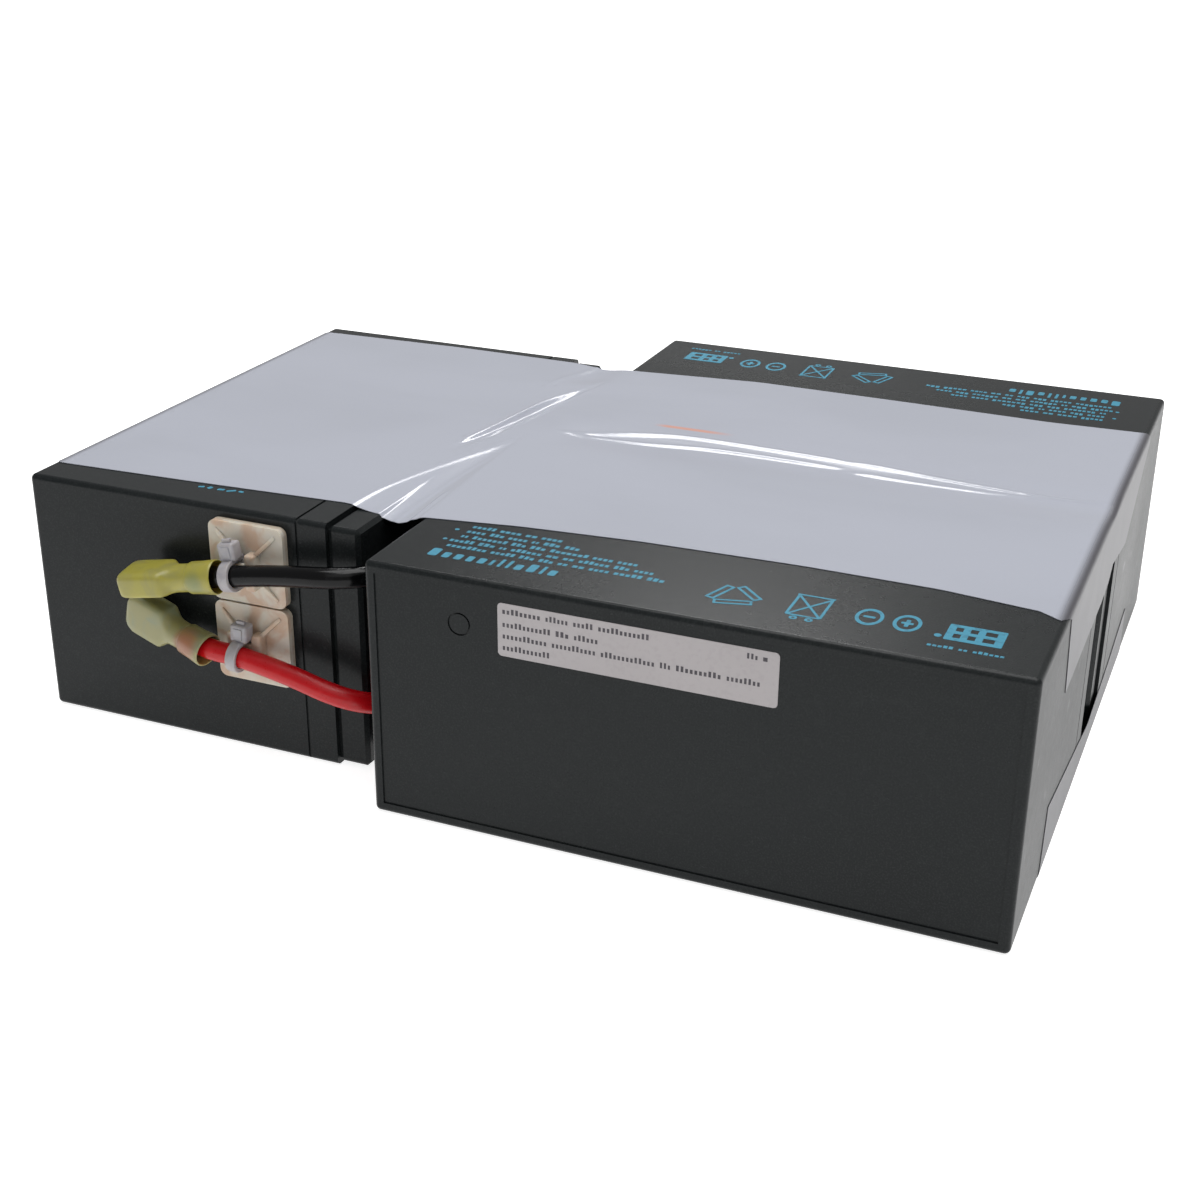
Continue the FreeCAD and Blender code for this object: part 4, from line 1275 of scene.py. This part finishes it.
TOP_FOLDS = tuple(Fold(curved(points), height, spread) for points, height, spread in (
    (((-43.6, -76), (-42.9, -70.2), (-41.5, -55.7), (-37.3, -39.1), (-31.4, -21.9),
      (-27.6, -13.1)), 0.1, 0.45),
    (((-30.4, -78), (-30.3, -72), (-30.0, -57.2), (-29.0, -37.6), (-26.9, -19.6)), 0.16, 0.5),
    (((-25.4, -76.5), (-25.9, -62), (-26.5, -50.8)), 0.3, 0.42),
    (((-39.9, -17.6), (-37, -0.5), (-35.5, 11.2), (-33.4, 23.6), (-28.5, 35.3), (-26, 41.3)),
     0.26, 0.5),
    (((-36.0, -8.0), (-32.1, 3.8), (-30, 15.9), (-28.2, 29.5), (-26, 41.3)), 0.26, 0.5),
    (((-39.4, 40.2), (-38.3, 44.4), (-36.3, 50.5), (-34.6, 56.9), (-33.0, 64.6)), 0.23, 0.6),
    (((-19.8, 0.3), (-9, 4.4), (1, 8), (14.7, 10.6), (39.3, 10.0), (60.3, 8.7)), 0.26, 0.6),
    (((58, 9.0), (67.3, 8.6), (85.8, 6.4), (103.5, 5.0), (118.6, 5.0), (127, 8)), 0.25, 0.6),
    (((-16.4, 0.9), (3.6, 1.9), (21.8, 4.6), (40.9, 4.8), (58.2, 4.3)), 0.25, 0.6),
    (((62.2, 3.0), (76.2, 1.9), (95.5, 2.0), (113.2, 3.9)), 0.25, 0.6),
    (((94.8, -10.8), (106.3, -13.5), (121, -8.1)), 0.05, 0.8),
))
TOP_FILM = TopFilm(
    "top_film", "film_top", 64.88, 1,
    front=(
        (-137, -71.0), (-126, -74.0), (-90.3, -72.4), (-45, -69.7), (-33, -71.4),
        (-25.8, -72.8), (-22.7, -70.7), (0.3, -66.8), (29.5, -64.1), (67.5, -62.9),
        (99.3, -63.5), (121.4, -66.4), (126.3, -69.6), (146, -59.5),
    ),
    back=(
        (-137, 59.0), (-125.6, 60.6), (-80.3, 62.3), (-33.3, 61.5), (-19.9, 61.4), (16.3, 65.6),
        (58.5, 64.6), (101.1, 63.0), (126.3, 64.1), (146, 66.0),
    ),
    left_edge=((-74, 46.0), (-40, 44.5), (0, 45.5), (40, 44.2), (61, 47.0)),
    right_edge=(
        (-59.5, 43.6), (-7.5, 44.2), (2.5, 45.2), (8.1, 48.2), (33.5, 44.2), (66.5, 62.2),
    ),
    flat=(132.0, 295.4), folds=TOP_FOLDS, fine_x=((-46.0, -24.0),), fine_y=((-1.5, 13.5),),
)
BOTTOM_FILM = BindingFilm(
    "bottom_film", "film_bottom", 0.03, -1,
    front=((-137, -67.0), (-60, -69.5), (40, -69.0), (126, -68.5), (146, -64.5)),
    back=((-137, 60.0), (-60, 62.5), (60, 62.0), (146, 60.5)),
    left_edge=((-68, 14.0), (-20, 15.4), (30, 13.2), (61, 15.0)),
    right_edge=((-64.5, 17.6), (-30, 12.4), (-2.5, 8.2), (30, 10.5), (60, 14.5)),
    flat=(132.0, 285.4),
)


# ---------------------------------------------------------------- printed marks


@dataclass
class BatteryPrint:
    """The plain marks printed along the base edge of a battery's upper side."""

    name: str
    turned: bool = False
    middle: float = 104.4
    line: float = 0.62

    def face(self) -> Matrix:
        """Return the place of the marks, which are drawn as battery A carries them."""
        raised = Matrix.Translation((0, 0, PRINT_LEVEL))
        if not self.turned:
            return raised
        return raised @ Matrix.Translation((self.middle, 0, 0)) @ Matrix.Rotation(math.pi, 4, "Z")

    def build(self) -> Piece:
        """Return the printed marks."""
        art = PrintedArt(self.name, self.face(), CYAN_INK, "battery_plastic")
        self.draw_text(art)
        self.draw_triangle(art)
        self.draw_signs(art)
        return art.build()

    def draw_text(self, art: PrintedArt) -> None:
        """Add the greyed-out heading and the five rows above it."""
        at = -12.0
        for index, width in enumerate((2.3, 1.8, 1.8, 1.6, 1.8, 0.8, 0.8, 0.8, 1.8, 2.0, 0.8, 1.8)):
            tall = index in (0, 6, 7, 9, 10)
            height, lift = (4.3, 0.65) if tall else (3.0, 0.0)
            art.bar((at + width / 2, -89.0 + lift), (width, height))
            at += width + 1.22
        for y, x, words in (
            (-83.4, -10.4, (10.2, 6.1, 3.9, 3.7, 2.6, 3.1, 5.0, 6.9, 4.3)),
            (-80.3, -11.2, (6.3, 4.4, 2.0, 7.8, 3.2, 2.9, 7.6, 3.9, 4.8)),
            (-77.2, -9.8, (2.0, 8.9, 3.8, 4.0, 9.6, 5.1, 5.0)),
            (-74.1, -9.8, (4.9, 3.8, 5.0, 2.0, 4.3, 3.9)),
            (-71.0, -9.8, (6.1, 5.6, 3.1, 5.4)),
        ):
            art.row((x, y), words, 1.75, 0.95)
        for y in (-80.3, -74.1):
            art.ring((-12.4, y), (0.55, 0.55), 0.5)

    def draw_triangle(self, art: PrintedArt) -> None:
        """Add a plain triangle, each side a pair of bars closed at both ends."""
        corners = (Vector((53.9, -89.4)), Vector((66.2, -86.2)), Vector((57.8, -77.9)))
        for corner, other in zip(corners, corners[1:] + corners[:1]):
            side = other - corner
            run = side.length
            along, middle = side / run, (corner + other) / 2
            aim = math.degrees(math.atan2(side.y, side.x))
            for offset in (-0.85, 0.85):
                spot = middle + Vector((-along.y, along.x)) * offset
                art.bar(tuple(spot), (run * 0.62, self.line), aim)
            for end in (-0.31, 0.31):
                art.bar(tuple(middle + along * end * run), (self.line, 2.3), aim)

    def draw_signs(self, art: PrintedArt) -> None:
        """Add the plain signs beside the triangle: a crossed box, two poles and a cell."""
        line = self.line
        box_x, box_y = 75.9, -83.6
        for dx, dy, size in (
            (0, 5.6, (8.4, line)), (0, -5.2, (7.0, line)), (-3.7, 0.2, (line, 10.8)),
            (3.7, 0.2, (line, 10.8)),
        ):
            art.bar((box_x + dx, box_y + dy), size)
        for aim in (55, -55):
            art.bar((box_x, box_y), (13.0, line), aim)
        for x in (74.2, 77.6):
            art.ring((x, -90.2), (0.9, 0.9), 0.55)
        for x in (88.9, 97.0):
            art.ring((x, -83.5), (3.0, 4.3), 1.15)
            art.bar((x, -83.5), (2.6, 0.95))
        art.bar((97.0, -83.5), (0.9, 3.6))
        for dx, y, size in (
            (0, -83.9, (12.0, 1.4)), (-5.2, -83.9, (1.6, 7.6)), (-2.1, -83.9, (1.5, 7.6)),
            (1.0, -83.9, (1.5, 7.6)), (5.1, -83.9, (1.8, 7.6)), (0, -87.3, (12.0, 1.4)),
            (0, -80.6, (12.0, 1.3)),
        ):
            art.bar((111.4 + dx, y), size)
        art.ring((104.1, -86.6), (0.8, 0.8), 0.75)
        art.row((102.9, -91.7), (5.6, 2.0, 6.6), 1.25, 0.9, 1.1, 0.3)


def build_edge_marks() -> Piece:
    """Return the bits of print that show past the film on battery C."""
    face = Matrix.Translation((0, 0, PRINT_LEVEL))
    art = PrintedArt("print_c", face, CYAN_INK, "battery_plastic")
    for x, y, size, turn in (
        (-83.0, -74.2, (1.6, 1.0), 20), (-80.6, -74.0, (1.2, 1.4), -25),
        (-77.4, -74.0, (1.9, 1.1), 12), (-74.6, -73.8, (2.4, 0.9), 35),
        (-72.0, -73.4, (1.4, 0.9), -8),
    ):
        art.bar((x, y), size, turn)
    return art.build()


def build_label_text() -> Piece:
    """Return the greyed-out rows on the rating label."""
    face = Matrix.Translation((0, -99.215, 0)) @ Matrix.Rotation(math.pi / 2, 4, "X")
    art = PrintedArt("label_print", face, GREY_INK, "label_paper", 0.03)
    for z, words in (
        (58.45, (9.4, 5.6, 4.9, 12.0)),
        (55.3, (11.8, 3.4, 5.9)),
        (52.5, (10.9, 10.6, 12.7, 2.7, 10.4, 7.7)),
        (49.7, (11.6,)),
    ):
        art.row((10.9, z), words, 1.35, 0.95, 1.0, 0.42)
    art.row((67.2, 58.5), (2.7, 1.4), 1.3, 0.8, 1.0, 0.42)
    return art.build()


# ---------------------------------------------------------------- studio


@dataclass(frozen=True)
class Panel:
    """A soft light panel that faces the pack and is hidden from the camera.

    It has a name, the direction from the pack, its distance and size in metres, and how bright
    its face is.
    """

    name: str
    way: Point3
    distance: float
    size: Point2
    radiance: float

    def hang(self, target: Point3) -> None:
        """Hang the panel so that it faces a point, given in millimetres."""
        lamp = bpy.data.lights.new(self.name, "AREA")
        lamp.shape = "RECTANGLE"
        lamp.size, lamp.size_y = self.size
        lamp.energy = self.radiance * math.pi * self.size[0] * self.size[1]
        light = bpy.data.objects.new(self.name, lamp)
        bpy.context.scene.collection.objects.link(light)
        aim = Vector(self.way).normalized()
        light.location = Vector(target) * MM + aim * self.distance
        light.rotation_euler = aim.to_track_quat("Z", "Y").to_euler()
        light.visible_camera = False


@dataclass
class Studio:
    """Pale floor, soft lights and the camera."""

    eye: Point3 = (168.3, -424.2, 221.2)
    ahead: Point3 = (-0.34865, 0.84493, -0.40563)
    upward: Point3 = (-0.16365, 0.37125, 0.91400)
    lens: float = 54.22
    sensor: float = 36.0
    clip: Point2 = (0.01, 60.0)
    sky: float = 0.36
    glow: float = 0.85
    floor_size: float = 20.0
    floor_level: float = -0.00005
    target: Point3 = (0.0, 0.0, 30.0)
    panels: tuple[Panel, ...] = (
        Panel("key", (0.05, 0.10, 1.0), 1.7, (1.4, 1.3), 4.4),
        Panel("rear_strip", (-0.28, 0.66, 0.69), 1.8, (0.76, 0.18), 8.0),
        Panel("side_strip", (-0.245, 0.78, 0.58), 1.8, (0.32, 0.34), 6.5),
        Panel("front_fill", (0.35, -0.8, 1.1), 2.2, (1.6, 1.2), 0.6),
    )

    def floor(self) -> None:
        """Lay the plain pale floor."""
        form = bmesh.new()
        bmesh.ops.create_grid(form, x_segments=2, y_segments=2, size=self.floor_size)
        bmesh.ops.translate(form, verts=form.verts, vec=(0, 0, self.floor_level))
        mesh = bpy.data.meshes.new("floor")
        form.to_mesh(mesh)
        form.free()
        board = Board("floor_paper")
        tooth = board.noise(300, 2)
        mesh.materials.append(board.finish({
            "Base Color": board.mix(tooth, (0.6, 0.6, 0.6, 1), (0.64, 0.64, 0.64, 1)),
            "Roughness": 0.85, "Specular IOR Level": 0.1,
            "Emission Color": (1, 1, 1, 1), "Emission Strength": self.glow,
        }))
        piece = bpy.data.objects.new("floor", mesh)
        bpy.context.scene.collection.objects.link(piece)

    def camera(self) -> None:
        """Set up the camera and make it the scene's own."""
        data = bpy.data.cameras.new("camera")
        data.lens = self.lens
        data.sensor_width = self.sensor
        data.clip_start, data.clip_end = self.clip
        camera = bpy.data.objects.new("camera", data)
        bpy.context.scene.collection.objects.link(camera)
        back = -Vector(self.ahead).normalized()
        right = Vector(self.upward).cross(back).normalized()
        turn = Matrix((right, back.cross(right), back)).transposed().to_4x4()
        camera.matrix_world = Matrix.Translation(Vector(self.eye) * MM) @ turn
        bpy.context.scene.camera = camera

    def build(self) -> None:
        """Set up the sky, the floor and the lights."""
        world = bpy.data.worlds.new("studio")
        world.use_nodes = True
        backdrop = world.node_tree.nodes["Background"]
        backdrop.inputs["Color"].default_value = (1.0, 1.0, 1.0, 1.0)
        backdrop.inputs["Strength"].default_value = self.sky
        scene = bpy.context.scene
        scene.world = world
        scene.view_settings.view_transform = "Standard"
        self.floor()
        for panel in self.panels:
            panel.hang(self.target)


def main() -> None:
    """Build every piece in order and report each one."""
    studio = Studio()
    studio.camera()
    for connector in CONNECTORS:
        LOG.info("connector %s", connector.build().name)
    for lead in (BLACK_LEAD, RED_LEAD):
        LOG.info("lead %s", lead.build().name)
    LOG.info("dressed %d CAD nodes", SHELF.dress_nodes())
    for mount in MOUNTS:
        LOG.info("mount %s", mount.build_mount().name)
        LOG.info("tie %s", mount.build_tie().name)
    for film in (TOP_FILM, BOTTOM_FILM):
        LOG.info("film %s", film.build().name)
    for art in (BatteryPrint("print_a"), BatteryPrint("print_b", True)):
        LOG.info("print %s", art.build().name)
    LOG.info("print %s", build_edge_marks().name)
    LOG.info("print %s", build_label_text().name)
    studio.build()


if __name__ == "__main__":
    logging.basicConfig(level=logging.INFO, format="%(name)s: %(message)s")
    main()
